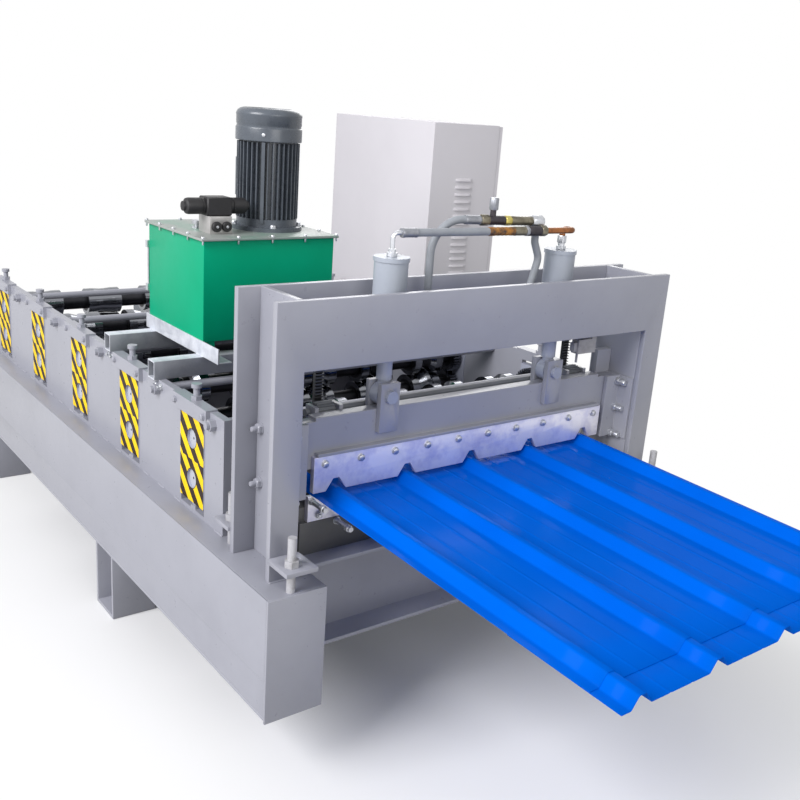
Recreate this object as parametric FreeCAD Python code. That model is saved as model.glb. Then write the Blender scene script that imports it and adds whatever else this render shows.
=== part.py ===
"""Roll forming machine for ribbed roofing sheet, with its hydraulic cut-off shear.

Millimetres. X runs across the machine, Y against the flow of the sheet (the finished sheet leaves
towards -Y), Z up from the floor. Places are worked out from the middle of the shear portal (X), its
front face (Y) and the floor (Z); on export everything moves so that the origin is the middle of the
footprint.
"""
import os
from math import cos, pi, radians, sin, sqrt

import FreeCAD
import Part

os.makedirs("parts", exist_ok=True)
V = FreeCAD.Vector

# Bed
floor = 0.0
bed_top = 610.0                 # working level, top of the two long beams
beam_height = 366.0
beam_flange_width = 174.0
beam_flange = 12.0
beam_web = 8.0
bed_front = -87.0               # outfeed end
infeed_length = 340.0           # bed behind the side walls
side_plate = 6.0
side_plate_share = 0.66         # part of the beam height that the proud side plate covers
end_plate = 8.0
cross_height = 270.0
cross_flange_width = 167.0
cross_first_y = 121.5           # middle of the cross beam under the shear
leg_width = 160.0
leg_depth = 160.0
leg_first_y = 1024.0            # front face of the first pair of legs
foot_plate = 12.0

# Formed sheet: its width sets the widths across the machine
pan_z = 176.0                   # flat of the sheet above the bed
sheet_thick = 1.0
rib_height = 28.0
rib_top = 20.0
rib_run = 20.0                  # sideways run of each flank
pan_width = 190.0
ribs = 5
left_lip = 30.0
right_lip = 12.0
flat_rib = 1.0                  # least rib height, at the infeed end
sheet_tail = 110.0              # the cut strip ends this far behind the first station
sheet_end_y = -941.0
sheet_drop = 26.0               # the free end hangs this much lower
lap_beyond = 84.0               # the lapped sheet starts this far past the end of the first
lap_length = 325.0
lap_gap = 0.84

# Widths across the machine, each side, from the sheet outwards
blade_over = 15.0               # blade past the edge of the sheet
holder_inset = 10.0             # blade beam short of the blade's end
guide_gap = 21.0                # from the blade's end to the guides
shoe_length = 65.0              # shoes of the blade beam past the blade's end
guide_depth = 24.0              # from the end of a shoe to the web of the column
portal_plate = 20.0
column_flange = 66.0            # portal plate outside the web
portal_leg = 85.0
wall_offset = 42.0              # outer face of a side wall outside the web
bed_margin = 50.0               # bed outside the portal plates

# Forming stations
stations = 5
station_pitch = 493.0
wall_gap = 92.0                 # from the back of the portal to the side walls
station_inset = 203.0           # from the front of the walls to the first station
wall_thick = 24.0
wall_over = 49.0                # wall above the bearing blocks
slot_width = 160.0
slot_sill = 12.0
block_thick = 30.0
block_below = 75.0              # block under the lower axis
block_above = 68.0              # block over the upper axis
split_drop = 4.0                # joint between the blocks under the sheet
journal_r = 30.0
journal_gap = 0.05
journal_inset = 4.0             # shaft end inside the wall's outer face
hub_r = 34.0
hub_step = 12.0
lower_ring = 32.0               # lower roll under the sheet, outside its hub
upper_root = 4.0                # from the top of a rib to the upper journal
roll_gap = 1.0                  # between roll and sheet
roll_shoulder = 35.0            # width of roll beside each rib
keeper_length = 230.0
keeper_height = 45.0
keeper_thick = 14.0
keeper_gap = 14.0               # between the upper block and the keeper
keeper_strip = 5.0              # strip of the keeper over the top of the wall
jack_r = 10.0
jack_rise = 54.0
jack_nut = 30.0
jack_nut_height = 13.0
jack_head = 12.0
jack_disc_r = 16.0              # round head of an upper screw
tie_r = 14.0
tie_end_r = 11.0
tie_drop = 30.0                 # under the top of the wall
tie_first = 63.0                # first tie bar behind the front of the walls
tie_offset = 6.0                # from the middle between two stations
tie_nut = 32.0
tie_nut_height = 18.0
tie_end = 28.0

# Gears that turn each upper shaft from the lower one
drive_teeth = 32
drive_gear_width = 32.0
drive_gear_inset = 12.0         # gear inside the wall

# Chain drive
sprocket_offset = 26.0          # first row of teeth outside the wall
sprocket_width = 9.0
sprocket_row = 20.0             # between the two rows of teeth on one shaft
sprocket_r = 74.0
shaft_end = 14.0
chain_thick = 8.0
chain_gap = 0.5
drive_behind = 170.0            # gearmotor behind the walls
drive_height = 92.0             # its axis above the bed
drive_plate_thick = 12.0
drive_plate_half = 100.0
drive_plate_inner = -120.0
drive_plate_outer = 60.0        # past the inner edge of the beam
gearbox_right = 640.0
gearbox_width = 170.0
gearbox_half = 80.0
gearbox_height = 150.0
gearbox_flange_r = 48.0
gearbox_flange = 16.0
bell_r = 70.0
bell_length = 30.0
motor_r = 72.0
motor_length = 320.0
fan_r = 76.0
fan_length = 60.0
motor_foot_half = 60.0
motor_foot_inset = 40.0
output_r = 20.0

# Entry guide
entry_inset = 52.0              # crossbar in front of the infeed end
entry_bar = 44.0
entry_bar_height = 40.0
entry_post_inset = 60.0
strip_gap = 4.0
strip_guide = 10.0
strip_guide_height = 46.0
strip_guide_length = 60.0

# Shear portal
gate_headroom = 89.0            # portal opening above the clevises
portal_head = 185.0
seat_thick = 20.0
seat_length = 190.0
seat_bore_gap = 8.0
bracket_z = 62.0
bracket_thick = 12.0
bracket_over = 7.0              # past the edge of the portal plate
bracket_width = 95.0
bracket_reach = 103.0
bracket_gap = 4.0               # between the rear bracket and the wall
stud_inset = 29.0
stud_reach = 65.0
stud_r = 12.0
stud_height = 156.0
stud_nut = 36.0
stud_nut_height = 19.0
spare_hole_r = 8.0
spare_hole_back = 24.0

# Cylinders
cylinder_x = 330.0
cylinder_r = 48.0
cylinder_bore = 36.0
cylinder_length = 245.0
cap_height = 12.0
cap_r = 51.0
foot_ring = 16.0
foot_ring_height = 18.0
gland_height = 24.0
rod_r = 22.5
rod_gap = 0.08
neck_r = 18.0
neck_step = 6.0
piston_z = 67.0                 # above the seat, with the blade up
piston_height = 36.0
rod_overlap = 23.0              # rod inside the piston

# Blade carriage
blade_front = 75.0
blade_thick = 18.0
blade_lift = 19.0               # edge above the pan of the sheet
blade_height = 105.0
notch_bottom = 67.0
notch_depth = 35.0
notch_top = 20.0
holder_thick = 40.0
holder_rise = 45.0              # underside of the beam above the blade's edge
holder_over = 109.0             # beam above the blade
shoe_lift = 22.0
shoe_drop = 10.0
ledge_height = 10.0             # bar over the upper edge of the blade
ledge_over = 3.0
clevis_width = 66.0
clevis_down = 69.0
clevis_up = 75.0
clevis_thick = 18.0
pin_rise = 36.0                 # pin above the beam
pin_r = 15.0
pin_head = 4.0
pin_head_length = 6.0
eye_r = 34.0
eye_gap = 2.0
slide_gap = 0.5
guide_thick = 16.0              # front plate of a guide
guide_leg = 6.0                 # strip from there to the front of the column, on its web
guide_down = 13.0
guide_drop = 9.0
guide_back = 27.0
back_guide_rise = 80.0

# Balance shaft
balance_gap = 32.0              # behind the blade beam
balance_drop = 7.0
balance_r = 11.0
balance_end = 60.0
gear_module = 3.0
pinion_teeth = 16
pinion_inset = 68.0
pinion_width = 56.0
rack_depth = 14.0
rack_width = 26.0
rack_down = 72.0                # rack under the balance shaft's axis
rack_over = 90.0                # rack above the portal opening
bearing_thick = 12.0
bearing_gap = 6.0
bearing_half = 20.0
bearing_behind = 18.0

# Lower blade
lower_blade_gap = 5.0           # cutting clearance behind the upper blade
lower_blade_z = 100.0
lower_holder_over = 25.0
lower_holder_height = 140.0
cut_gap = 0.5                   # between the edge and the flanks of the sheet

# Oil tank and pump
tube_height = 60.0
tube_width = 50.0
tube_wall = 4.0
tube_over = 17.0                # past the side walls
tube_behind_first = 245.0       # front tube behind the first station
tube_behind_second = 129.0      # rear tube behind the second station
rail_size = 50.0
rail_thick = 5.0
rail_before = 107.0             # rails in front of the front tube
rail_behind = 18.0              # rails behind the tank
tank_left = -572.0
tank_width = 484.0
tank_set_back = 11.0            # tank behind the front of the front tube
tank_depth = 430.0
tank_height = 327.0
tank_wall = 3.0
tank_foot = 40.0
tank_foot_inset = 4.0
lid_thick = 8.0
lid_over = 12.0
pump_x = 329.0                  # pump motor from the tank's left front corner
pump_y = 194.0
pump_base_r = 122.0
pump_base = 14.0
pump_flange_r = 104.0
pump_flange = 26.0
pump_body_r = 88.0
pump_body = 280.0
pump_fins = 36
pump_fin = 3.2
pump_fin_r = 106.0
pump_fin_root = 80.0
pump_fin_z = 40.0
pump_fin_length = 250.0
terminal_out = 140.0
terminal_in = 60.0
terminal_half = 50.0
terminal_z = 100.0
terminal_height = 130.0
cowl_z = 294.0
cowl_r = 112.0
cowl_height = 86.0
cowl_top_r = 84.0
cowl_dome = 20.0
valve_x = 100.0                 # valve from the tank's left front corner
valve_back = 124.0
manifold_half = 39.0
manifold_half_depth = 42.0
manifold_height = 56.0
manifold_port_r = 11.0
manifold_port_x = 18.0
manifold_port_z = 24.0
manifold_port_depth = 20.0
valve_half = 44.0
valve_half_depth = 34.0
valve_height = 60.0
coil_reach = 118.0
coil_half_depth = 26.0
coil_inset = 4.0

# Hoses between the cylinders: an upper line to the caps, a second line to the lower ports
hose_r = 11.5
hose_bend = 62.0
loop_bend = 100.0               # upper bend of the left hose
drop_bend = 40.0
pipe_r = 9.5
pipe_bend = 13.0
elbow_r = 6.5
elbow_bend = 14.0
ferrule_r = 13.5
cap_nut = 28.0
cap_port_top = 20.0             # height of the nut on each cap
upper_line_rise = 64.0          # above the cylinders
upper_line_forward = 38.0       # at its right end
upper_line_past = 17.0
left_ferrule_x = 26.0           # from the axis of the left cylinder
left_ferrule = 52.0
right_group_x = 234.0           # from the axis of the right cylinder
right_ferrule = 44.0
right_nut = 27.0
right_nut_length = 12.0
tee_r = 15.0
tee_length = 48.0
pipe_nut = 30.0
pipe_nut_length = 22.0
lower_line_rise = 96.0
lower_line_fall = 12.0
lower_line_y = 42.0             # behind the cylinders' axes at the left
lower_line_shift = -10.0        # from the cylinders' axes at the right
lower_line_right = 258.0
lower_group_x = -64.0
lower_ferrule = 56.0
lower_nut = 30.0
lower_nut_length = 30.0
lower_tee_r = 14.0
lower_tee = 58.0
lower_joint = 27.0
lower_joint_length = 24.0
lower_sleeve = 80.0
lower_end = 34.0
lower_end_length = 42.0
riser_x = 102.0                 # from the left end of the lower fittings
riser_r = 9.0
riser_height = 36.0
riser_nut = 24.0
riser_nut_z = 30.0
riser_nut_length = 32.0
drop_x = 270.0
drop_length = 40.0
drop_straight = 22.0
drop_swing = 24.0
drop_swing_z = 72.0
drop_back = 42.0
drop_back_z = 90.0
drop_turn = 60.0
loop_x = -172.0
port_rise = 67.0                # lower ports above the seats
port_r = 15.0
port_nut = 30.0
port_nut_length = 18.0
port_length = 16.0
port_depth = 2.0

# Limit switch, from its strap beside the right seat and the top of the portal opening
switch_over = 12.0              # body over its strap
switch_length = 72.0
switch_depth = 30.0
switch_low = 58.0
switch_top = 12.0
switch_plug = 14.0
switch_plug_depth = 18.0
switch_plug_low = 50.0
switch_plug_top = 22.0
switch_arm_x = 34.0             # from the left end of the body
switch_arm_r = 4.0
switch_arm_low = 96.0
switch_arm_length = 60.0
switch_hub_r = 9.0
switch_hub_low = 34.0
switch_hub = 10.0
switch_strap = 20.0
switch_strap_thick = 6.0
switch_strap_rise = 60.0

# Control cabinet
cabinet_width = 400.0
cabinet_length = 780.0
cabinet_height = 1786.0
cabinet_front_y = 1374.0
door_thick = 22.0
door_gap = 2.0
cabinet_sheet = 2.5
plinth_height = 80.0

# Places worked out from the sizes above
past = 1.0                      # how far a cut reaches past a face
rib_flank = sqrt(rib_run**2 + rib_height**2)
sheet_half = (ribs - 1)/2*(pan_width + rib_top + 2*rib_run) + rib_top/2 + rib_run + left_lip
blade_half = sheet_half + blade_over
holder_half = blade_half - holder_inset
guide_inner = blade_half + guide_gap
shoe_reach = blade_half + shoe_length
inner_web = shoe_reach + guide_depth
portal_web_outer = inner_web + portal_plate
portal_half = portal_web_outer + column_flange
gate = portal_half - portal_leg
wall_outer = portal_web_outer + wall_offset
wall_inner = wall_outer - wall_thick
bed_outer = portal_half + bed_margin
beam_bottom = bed_top - beam_height
beam_outer = bed_outer - side_plate
beam_inner = beam_outer - beam_flange_width
blade_back = blade_front + blade_thick
holder_back = blade_back + holder_thick
ram_y = (blade_back + holder_back)/2
pitch_r = gear_module*pinion_teeth/2
balance_y = holder_back + balance_gap
portal_back_y = balance_y + pitch_r + rack_depth
wall_front = portal_back_y + portal_plate + wall_gap
first_station_y = wall_front + station_inset
station_ys = [first_station_y + i*station_pitch for i in range(stations)]
wall_back = station_ys[-1] + station_inset
bed_back = wall_back + infeed_length
sheet_z = bed_top + pan_z
lower_axis = sheet_z - hub_r - lower_ring
upper_axis = sheet_z + rib_height + journal_r + upper_root
block_z0 = lower_axis - block_below
block_split = sheet_z - split_drop
block_z1 = upper_axis + block_above
wall_top = block_z1 + wall_over
blade_z0 = sheet_z + blade_lift
blade_z1 = blade_z0 + blade_height
holder_z0 = blade_z0 + holder_rise
holder_z1 = blade_z1 + holder_over
clevis_z0, clevis_z1 = holder_z1 - clevis_down, holder_z1 + clevis_up
pin_z = holder_z1 + pin_rise
guide_z0, guide_z1 = blade_z0 - guide_down, holder_z1 - guide_drop
guide_front = blade_back - slide_gap - guide_thick
balance_z = holder_z1 - balance_drop
pinion_x = holder_half - pinion_inset
seat_z = clevis_z1 + gate_headroom
portal_top = seat_z + portal_head
cylinder_z0 = seat_z + seat_thick
cylinder_z1 = cylinder_z0 + cylinder_length
tube_half = wall_outer + tube_over
tube_z0, tube_z1 = wall_top, wall_top + tube_height
tube_front_y = station_ys[0] + tube_behind_first
tube_rear_y = station_ys[1] + tube_behind_second
tank_front = tube_front_y + tank_set_back
tank_z0 = tube_z1 + rail_thick + tank_foot
lapped_start_y = sheet_end_y - lap_beyond + lap_length
lapped_end_y = sheet_end_y - lap_beyond
origin = V(cabinet_width/2, (lapped_end_y + bed_back)/2, floor)


def box(x0, x1, y0, y1, z0, z1):
    """A box between two corners given by their coordinates in any order."""
    return Part.makeBox(abs(x1 - x0), abs(y1 - y0), abs(z1 - z0),
                        V(min(x0, x1), min(y0, y1), min(z0, z1)))


def rod(start, axis, radius, length):
    """A round bar from a point along an axis."""
    return Part.makeCylinder(radius, length, V(*start), V(*axis))


def prism(points, direction):
    """A solid from a closed outline of points, pushed along a direction."""
    vectors = [V(*p) for p in points]
    return Part.Face(Part.makePolygon(vectors + vectors[:1])).extrude(V(*direction))


def hexagon(centre, axis, across_flats, height):
    """A hexagon nut or bolt head on a point, standing along one of the main axes."""
    corner = across_flats/sqrt(3)
    turns = [radians(60*i) for i in range(6)]
    x, y, z = centre
    if axis == "x":
        points = [(x, y + corner*cos(t), z + corner*sin(t)) for t in turns]
        return prism(points, (height, 0, 0))
    if axis == "y":
        points = [(x + corner*cos(t), y, z + corner*sin(t)) for t in turns]
        return prism(points, (0, height, 0))
    points = [(x + corner*cos(t), y + corner*sin(t), z) for t in turns]
    return prism(points, (0, 0, height))


def hex_bar(start, axis, across_flats, length):
    """A hexagon bar from a point along any axis."""
    bar = hexagon((0, 0, 0), "z", across_flats, length)
    bar.Placement = FreeCAD.Placement(V(*start), FreeCAD.Rotation(V(0, 0, 1), V(*axis)))
    return bar


def revolve_x(profile, axis_y, axis_z):
    """A solid turned about a line along X, from (x, radius) points that start and end on it."""
    points = [V(x, axis_y, axis_z + r) for x, r in profile]
    face = Part.Face(Part.makePolygon(points + points[:1]))
    return face.revolve(V(0, axis_y, axis_z), V(1, 0, 0), 360)


def bent_tube(points, bends, radius):
    """A round tube along straight runs joined by arcs, with the bend radius of each corner."""
    path, start = [], V(*points[0])
    for before, corner, after, bend in zip(points, points[1:], points[2:], bends):
        c = V(*corner)
        back, on = (V(*before) - c).normalize(), (V(*after) - c).normalize()
        half = back.getAngle(on)/2
        reach = bend/abs(sin(half)/cos(half))
        first, last = c + back*reach, c + on*reach
        to_centre = (back + on).normalize()
        middle = c + to_centre*(bend/sin(half) - bend)
        path += [Part.makeLine(start, first), Part.Arc(first, middle, last).toShape()]
        start = last
    path.append(Part.makeLine(start, V(*points[-1])))
    wire = Part.Wire(path)
    heading = (V(*points[1]) - V(*points[0])).normalize()
    ring = Part.Wire(Part.Circle(V(*points[0]), heading, radius).toShape())
    return wire.makePipeShell([ring], True, False)


def spur_gear(x0, width, axis_y, axis_z, module, teeth, turn=0.0):
    """A gear about a line along X; the flanks are straight and leave backlash."""
    pitch, points = module*teeth/2, []
    for i in range(teeth):
        middle = 2*pi*i/teeth + turn
        for r, share in ((pitch - 1.25*module, -0.30), (pitch + module, -0.10),
                         (pitch + module, 0.10), (pitch - 1.25*module, 0.30)):
            t = middle + share*2*pi/teeth
            points.append((x0, axis_y + r*cos(t), axis_z + r*sin(t)))
    return prism(points, (width, 0, 0))


def mirror_x(shape):
    return shape.mirror(V(0, 0, 0), V(1, 0, 0))


def both_sides(shape):
    return [shape, mirror_x(shape)]


def fuse(shapes):
    shapes = list(shapes)
    return shapes[0].multiFuse(shapes[1:]).removeSplitter()


def save(name, shapes):
    """Write one node: a solid, or several like solids that don't touch."""
    shapes = shapes if isinstance(shapes, list) else [shapes]
    shape = shapes[0] if len(shapes) == 1 else Part.makeCompound(shapes)
    shape.translate(origin*-1)
    shape.exportStep(f"parts/{name}.step")


# Bed: two long beams, closed outside by stepped side plates and at both ends
flange_y0, flange_y1 = bed_front + end_plate, bed_back - end_plate
web_mid = beam_outer - beam_flange_width/2
left_beam = fuse([
    box(-beam_outer, -beam_inner, flange_y0, flange_y1, bed_top - beam_flange, bed_top),
    box(-beam_outer, -beam_inner, flange_y0, flange_y1, beam_bottom, beam_bottom + beam_flange),
    box(-web_mid - beam_web/2, -web_mid + beam_web/2, flange_y0, flange_y1, beam_bottom, bed_top)])
save("bed_beams", both_sides(left_beam))
step_z = bed_top - side_plate_share*beam_height
side = fuse([
    box(-bed_outer, -beam_outer, flange_y0, flange_y1, step_z, bed_top),
    box(-beam_outer, -beam_outer + beam_web, flange_y0, flange_y1,
        beam_bottom + beam_flange, bed_top - beam_flange)])
save("bed_side_plates", both_sides(side))
ends = [box(-bed_outer, -beam_inner, y, y + end_plate, beam_bottom, bed_top)
        for y in (bed_front, flange_y1)]
save("bed_end_plates", [s for end in ends for s in both_sides(end)])

# Cross beams: under the shear, between the stations and near the infeed end
cross_ys = [cross_first_y] + [(a + b)/2 for a, b in zip(station_ys, station_ys[1:])]
cross_ys.append(wall_back + cross_flange_width/2)
cross_beams = []
for y in cross_ys:
    y0, y1 = y - cross_flange_width/2, y + cross_flange_width/2
    z0 = bed_top - cross_height
    web_end = web_mid - beam_web/2
    cross_beams.append(fuse([
        box(-beam_inner, beam_inner, y0, y1, bed_top - beam_flange, bed_top),
        box(-beam_inner, beam_inner, y0, y1, z0, z0 + beam_flange),
        box(-web_end, web_end, y - beam_web/2, y + beam_web/2, z0, bed_top - beam_flange)]))
save("bed_cross_beams", cross_beams)

# Legs: short H columns on foot plates
leg_ys = [leg_first_y, wall_back - leg_depth]
legs = []
for y in leg_ys:
    x0, x1 = -bed_outer + side_plate, -bed_outer + side_plate + leg_width
    legs += both_sides(fuse([
        box(x0, x1, y, y + beam_flange, foot_plate, beam_bottom),
        box(x0, x1, y + leg_depth - beam_flange, y + leg_depth, foot_plate, beam_bottom),
        box((x0 + x1)/2 - beam_web/2, (x0 + x1)/2 + beam_web/2, y, y + leg_depth,
            foot_plate, beam_bottom),
        box(x0, x1, y, y + leg_depth, floor, foot_plate)]))
save("bed_legs", legs)

# Side walls: one plate a side with a slot for the bearing blocks of each station
left_wall = box(-wall_outer, -wall_inner, wall_front, wall_back, bed_top, wall_top)
left_wall = left_wall.cut(Part.makeCompound([
    box(-wall_outer - past, -wall_inner + past, y - slot_width/2, y + slot_width/2,
        bed_top + slot_sill, wall_top + past) for y in station_ys]))

# Bearing blocks in the slots, with bores for the shaft journals
block_x0 = wall_outer + (block_thick - wall_thick)/2
block_x1 = block_x0 - block_thick
block_bore = journal_r + journal_gap
left_blocks = []
for y in station_ys:
    for z0, z1, axis_z in ((block_z0, block_split, lower_axis), (block_split, block_z1, upper_axis)):
        block = box(-block_x0, -block_x1, y - slot_width/2, y + slot_width/2, z0, z1)
        bore = rod((-block_x0 - past, y, axis_z), (1, 0, 0), block_bore, block_thick + 2*past)
        left_blocks.append(block.cut(bore))
pairs = [fuse([low, high]) for low, high in zip(left_blocks[::2], left_blocks[1::2])]
save("bearing_blocks", [block for pair in pairs for block in both_sides(pair)])

# Keeper bars over the slots, with the jack screws that press the blocks together
keeper_z0, keeper_z1 = block_z1 + keeper_gap, wall_top + keeper_strip
screw_x = -(wall_outer + wall_inner)/2
keepers, jacks = [], []
for y in station_ys:
    keeper = fuse([
        box(-wall_outer - keeper_thick, -wall_outer, y - keeper_length/2, y + keeper_length/2,
            keeper_z1 - keeper_height, keeper_z1),
        box(-wall_outer, -wall_inner, y - slot_width/2, y + slot_width/2, keeper_z0, wall_top),
        box(-wall_outer, -wall_inner, y - keeper_length/2, y + keeper_length/2, wall_top, keeper_z1)])
    keeper = keeper.cut(rod((screw_x, y, keeper_z0 - past), (0, 0, 1), jack_r,
                            keeper_z1 - keeper_z0 + 2*past))
    keepers += both_sides(keeper)
    jack = fuse([
        rod((screw_x, y, block_z1), (0, 0, 1), jack_r, wall_top + jack_rise - block_z1),
        hexagon((screw_x, y, keeper_z1), "z", jack_nut, jack_nut_height),
        rod((screw_x, y, wall_top + jack_rise - jack_head), (0, 0, 1), jack_disc_r, jack_head)])
    foot = fuse([
        rod((screw_x, y, bed_top + slot_sill), (0, 0, 1), jack_r, block_z0 - bed_top - slot_sill),
        hexagon((screw_x, y, bed_top + slot_sill), "z", jack_nut, jack_head)])
    jacks += both_sides(jack) + both_sides(foot)
save("keeper_bars", keepers)
save("jack_screws", jacks)

# Tie bars between the walls, at the front and midway between the stations
tie_bars = []
tie_places = [(wall_front + tie_first, wall_top - tie_drop)]
tie_places += [((a + b)/2 + tie_offset, wall_top - tie_drop) for a, b in zip(station_ys, station_ys[1:])]
for y, z in tie_places:
    tie_bars.append(fuse([
        rod((-wall_inner, y, z), (1, 0, 0), tie_r, 2*wall_inner),
        rod((-wall_outer - tie_end, y, z), (1, 0, 0), tie_end_r, 2*(wall_outer + tie_end)),
        hexagon((-wall_outer - tie_nut_height, y, z), "x", tie_nut, tie_nut_height),
        hexagon((wall_outer, y, z), "x", tie_nut, tie_nut_height)]))
tie_holes = Part.makeCompound([rod((-wall_outer - past, y, z), (1, 0, 0), tie_end_r,
                                   wall_thick + 2*past) for y, z in tie_places])
save("side_walls", both_sides(left_wall.cut(tie_holes)))
save("tie_bars", tie_bars)


# Sheet and rolls
def station_rib(y):
    """Rib height at a place along the machine: full after the last pass, nearly flat at infeed."""
    if y <= station_ys[0]:
        return rib_height
    share = (y - station_ys[0])/(station_ys[-1] + station_pitch/2 - station_ys[0])
    return max(flat_rib, rib_height*(1 - share))


def rib_half_foot(height):
    return rib_top/2 + sqrt(rib_flank**2 - height**2)


def rib_centres(height):
    pitch = pan_width + 2*rib_half_foot(height)
    return [(i - (ribs - 1)/2)*pitch for i in range(ribs)]


def sheet_line(height):
    """The sheet's middle line across the machine as (x, z) points above the pan."""
    half = rib_half_foot(height)
    line = []
    for i, x in enumerate(rib_centres(height)):
        if i == 0:
            line.append((x - half - left_lip, 0.0))
        line += [(x - half, 0.0), (x - rib_top/2, height), (x + rib_top/2, height)]
        if i < ribs - 1:
            line.append((x + half, 0.0))
        else:
            flank = (half - rib_top/2)/rib_flank
            line.append((x + rib_top/2 + right_lip*flank, height*(1 - right_lip/rib_flank)))
    return line


def sheet_outline(y, height, base_z, thick):
    """Closed outline of the sheet at one place: the middle line, half a thickness to each side."""
    line = sheet_line(height)
    upper, lower = [], []
    for i, (x, z) in enumerate(line):
        before, after = line[max(i - 1, 0)], line[min(i + 1, len(line) - 1)]
        normals = []
        for (xa, za), (xb, zb) in ((before, (x, z)), ((x, z), after)):
            length = sqrt((xb - xa)**2 + (zb - za)**2)
            if length > 0:
                normals.append((-(zb - za)/length, (xb - xa)/length))
        nx = sum(n[0] for n in normals)/len(normals)
        nz = sum(n[1] for n in normals)/len(normals)
        scale = thick/2/(nx*nx + nz*nz)
        upper.append(V(x + nx*scale, y, base_z + z + nz*scale))
        lower.append(V(x - nx*scale, y, base_z + z - nz*scale))
    points = upper + lower[::-1]
    return Part.makePolygon(points + points[:1])


def free_z(y):
    """Height of the pan of the free sheet in front of the shear."""
    return sheet_z - sheet_drop*max(0.0, blade_front - y)/(blade_front - sheet_end_y)


sheet_ys = [station_ys[0] + sheet_tail, blade_front, sheet_end_y]
sheet_runs = [
    Part.makeLoft([sheet_outline(y, rib_height, free_z(y), sheet_thick) for y in pair], True, True)
    for pair in zip(sheet_ys, sheet_ys[1:])]
save("formed_sheet", sheet_runs[0].fuse(sheet_runs[1]))
lapped = Part.makeLoft([
    sheet_outline(y, rib_height, free_z(y) - sheet_thick - lap_gap, sheet_thick)
    for y in (lapped_start_y, lapped_end_y)], True, True)
save("lapped_sheet", lapped)


def lower_profile(height, right_end):
    """(x, radius) outline of a lower shaft with a raised ring under each rib."""
    pan_r = sheet_z - sheet_thick/2 - roll_gap - lower_axis
    half = rib_half_foot(height)
    outline = [(-wall_outer + journal_inset, 0), (-wall_outer + journal_inset, journal_r)]
    for x in rib_centres(height):
        outline += [(x - half - roll_shoulder, hub_r), (x - half - roll_shoulder, pan_r),
                    (x - half + roll_gap/2, pan_r), (x - rib_top/2 + roll_gap/2, pan_r + height),
                    (x + rib_top/2 - roll_gap/2, pan_r + height), (x + half - roll_gap/2, pan_r),
                    (x + half + roll_shoulder, pan_r), (x + half + roll_shoulder, hub_r)]
    first, last = outline[2][0] - hub_step, outline[-1][0] + hub_step
    outline = outline[:2] + [(first, journal_r), (first, hub_r)] + outline[2:]
    outline += [(last, hub_r), (last, journal_r), (right_end, journal_r), (right_end, 0)]
    return outline


def upper_profile(height):
    """(x, radius) outline of an upper shaft with a pair of rolls beside each rib."""
    pan_r = upper_axis - sheet_z - sheet_thick/2 - roll_gap
    half = rib_half_foot(height)
    deep = min(height, pan_r - journal_r - roll_gap)
    slope = (half - rib_top/2)/height
    gap = roll_gap*1.3
    outline = [(-wall_outer + journal_inset, 0), (-wall_outer + journal_inset, journal_r)]
    first = rib_centres(height)[0] - half - roll_shoulder - hub_step
    outline += [(first, journal_r), (first, hub_r)]
    for x in rib_centres(height):
        inner_r = pan_r - deep
        root = half + gap - deep*slope
        outline += [(x - half - roll_shoulder, hub_r), (x - half - roll_shoulder, pan_r),
                    (x - half - gap, pan_r), (x - root, inner_r), (x + root, inner_r),
                    (x + half + gap, pan_r), (x + half + roll_shoulder, pan_r),
                    (x + half + roll_shoulder, hub_r)]
    last = outline[-1][0] + hub_step
    right = wall_outer - journal_inset
    outline += [(last, hub_r), (last, journal_r), (right, journal_r), (right, 0)]
    return outline


sprocket_x = wall_outer + sprocket_offset
shaft_right = sprocket_x + sprocket_row + shaft_end
drive_module = (upper_axis - lower_axis)/drive_teeth
drive_gear_x = wall_inner - drive_gear_inset - drive_gear_width
for i, y in enumerate(station_ys):
    height = station_rib(y)
    lower = revolve_x(lower_profile(height, shaft_right), y, lower_axis)
    discs = [rod((sprocket_x + row*sprocket_row, y, lower_axis), (1, 0, 0), sprocket_r, sprocket_width)
             for row in (0, 1)]
    gears = [spur_gear(drive_gear_x, drive_gear_width, y, z, drive_module, drive_teeth, turn)
             for z, turn in ((lower_axis, pi/2), (upper_axis, -pi/2 + pi/drive_teeth))]
    save(f"lower_roll_{i + 1}", lower.multiFuse(discs + gears[:1]))
    save(f"upper_roll_{i + 1}", revolve_x(upper_profile(height), y, upper_axis).fuse(gears[1]))

# Drive chains: one closed band a pair of stations, in two rows in turn
chain_r = sprocket_r + chain_gap
chains = []


def chain_band(x, y0, y1, z0, z1, radius):
    """A closed band around two wheels of one radius."""
    long = V(0, y1 - y0, z1 - z0)
    across = V(1, 0, 0).cross(long).normalize()
    bands = []
    for r in (radius + chain_thick, radius):
        a, b = V(x, y0, z0), V(x, y1, z1)
        side_vector, along = across*r, V(long).normalize()*r
        bands.append(Part.Face(Part.Wire([
            Part.makeLine(a + side_vector, b + side_vector),
            Part.Arc(b + side_vector, b + along, b - side_vector).toShape(),
            Part.makeLine(b - side_vector, a - side_vector),
            Part.Arc(a - side_vector, a - along, a + side_vector).toShape()])))
    return bands[0].cut(bands[1]).extrude(V(sprocket_width, 0, 0))


for i, (a, b) in enumerate(zip(station_ys, station_ys[1:])):
    chains.append(chain_band(sprocket_x + (i % 2)*sprocket_row, a, b, lower_axis, lower_axis, chain_r))

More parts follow.
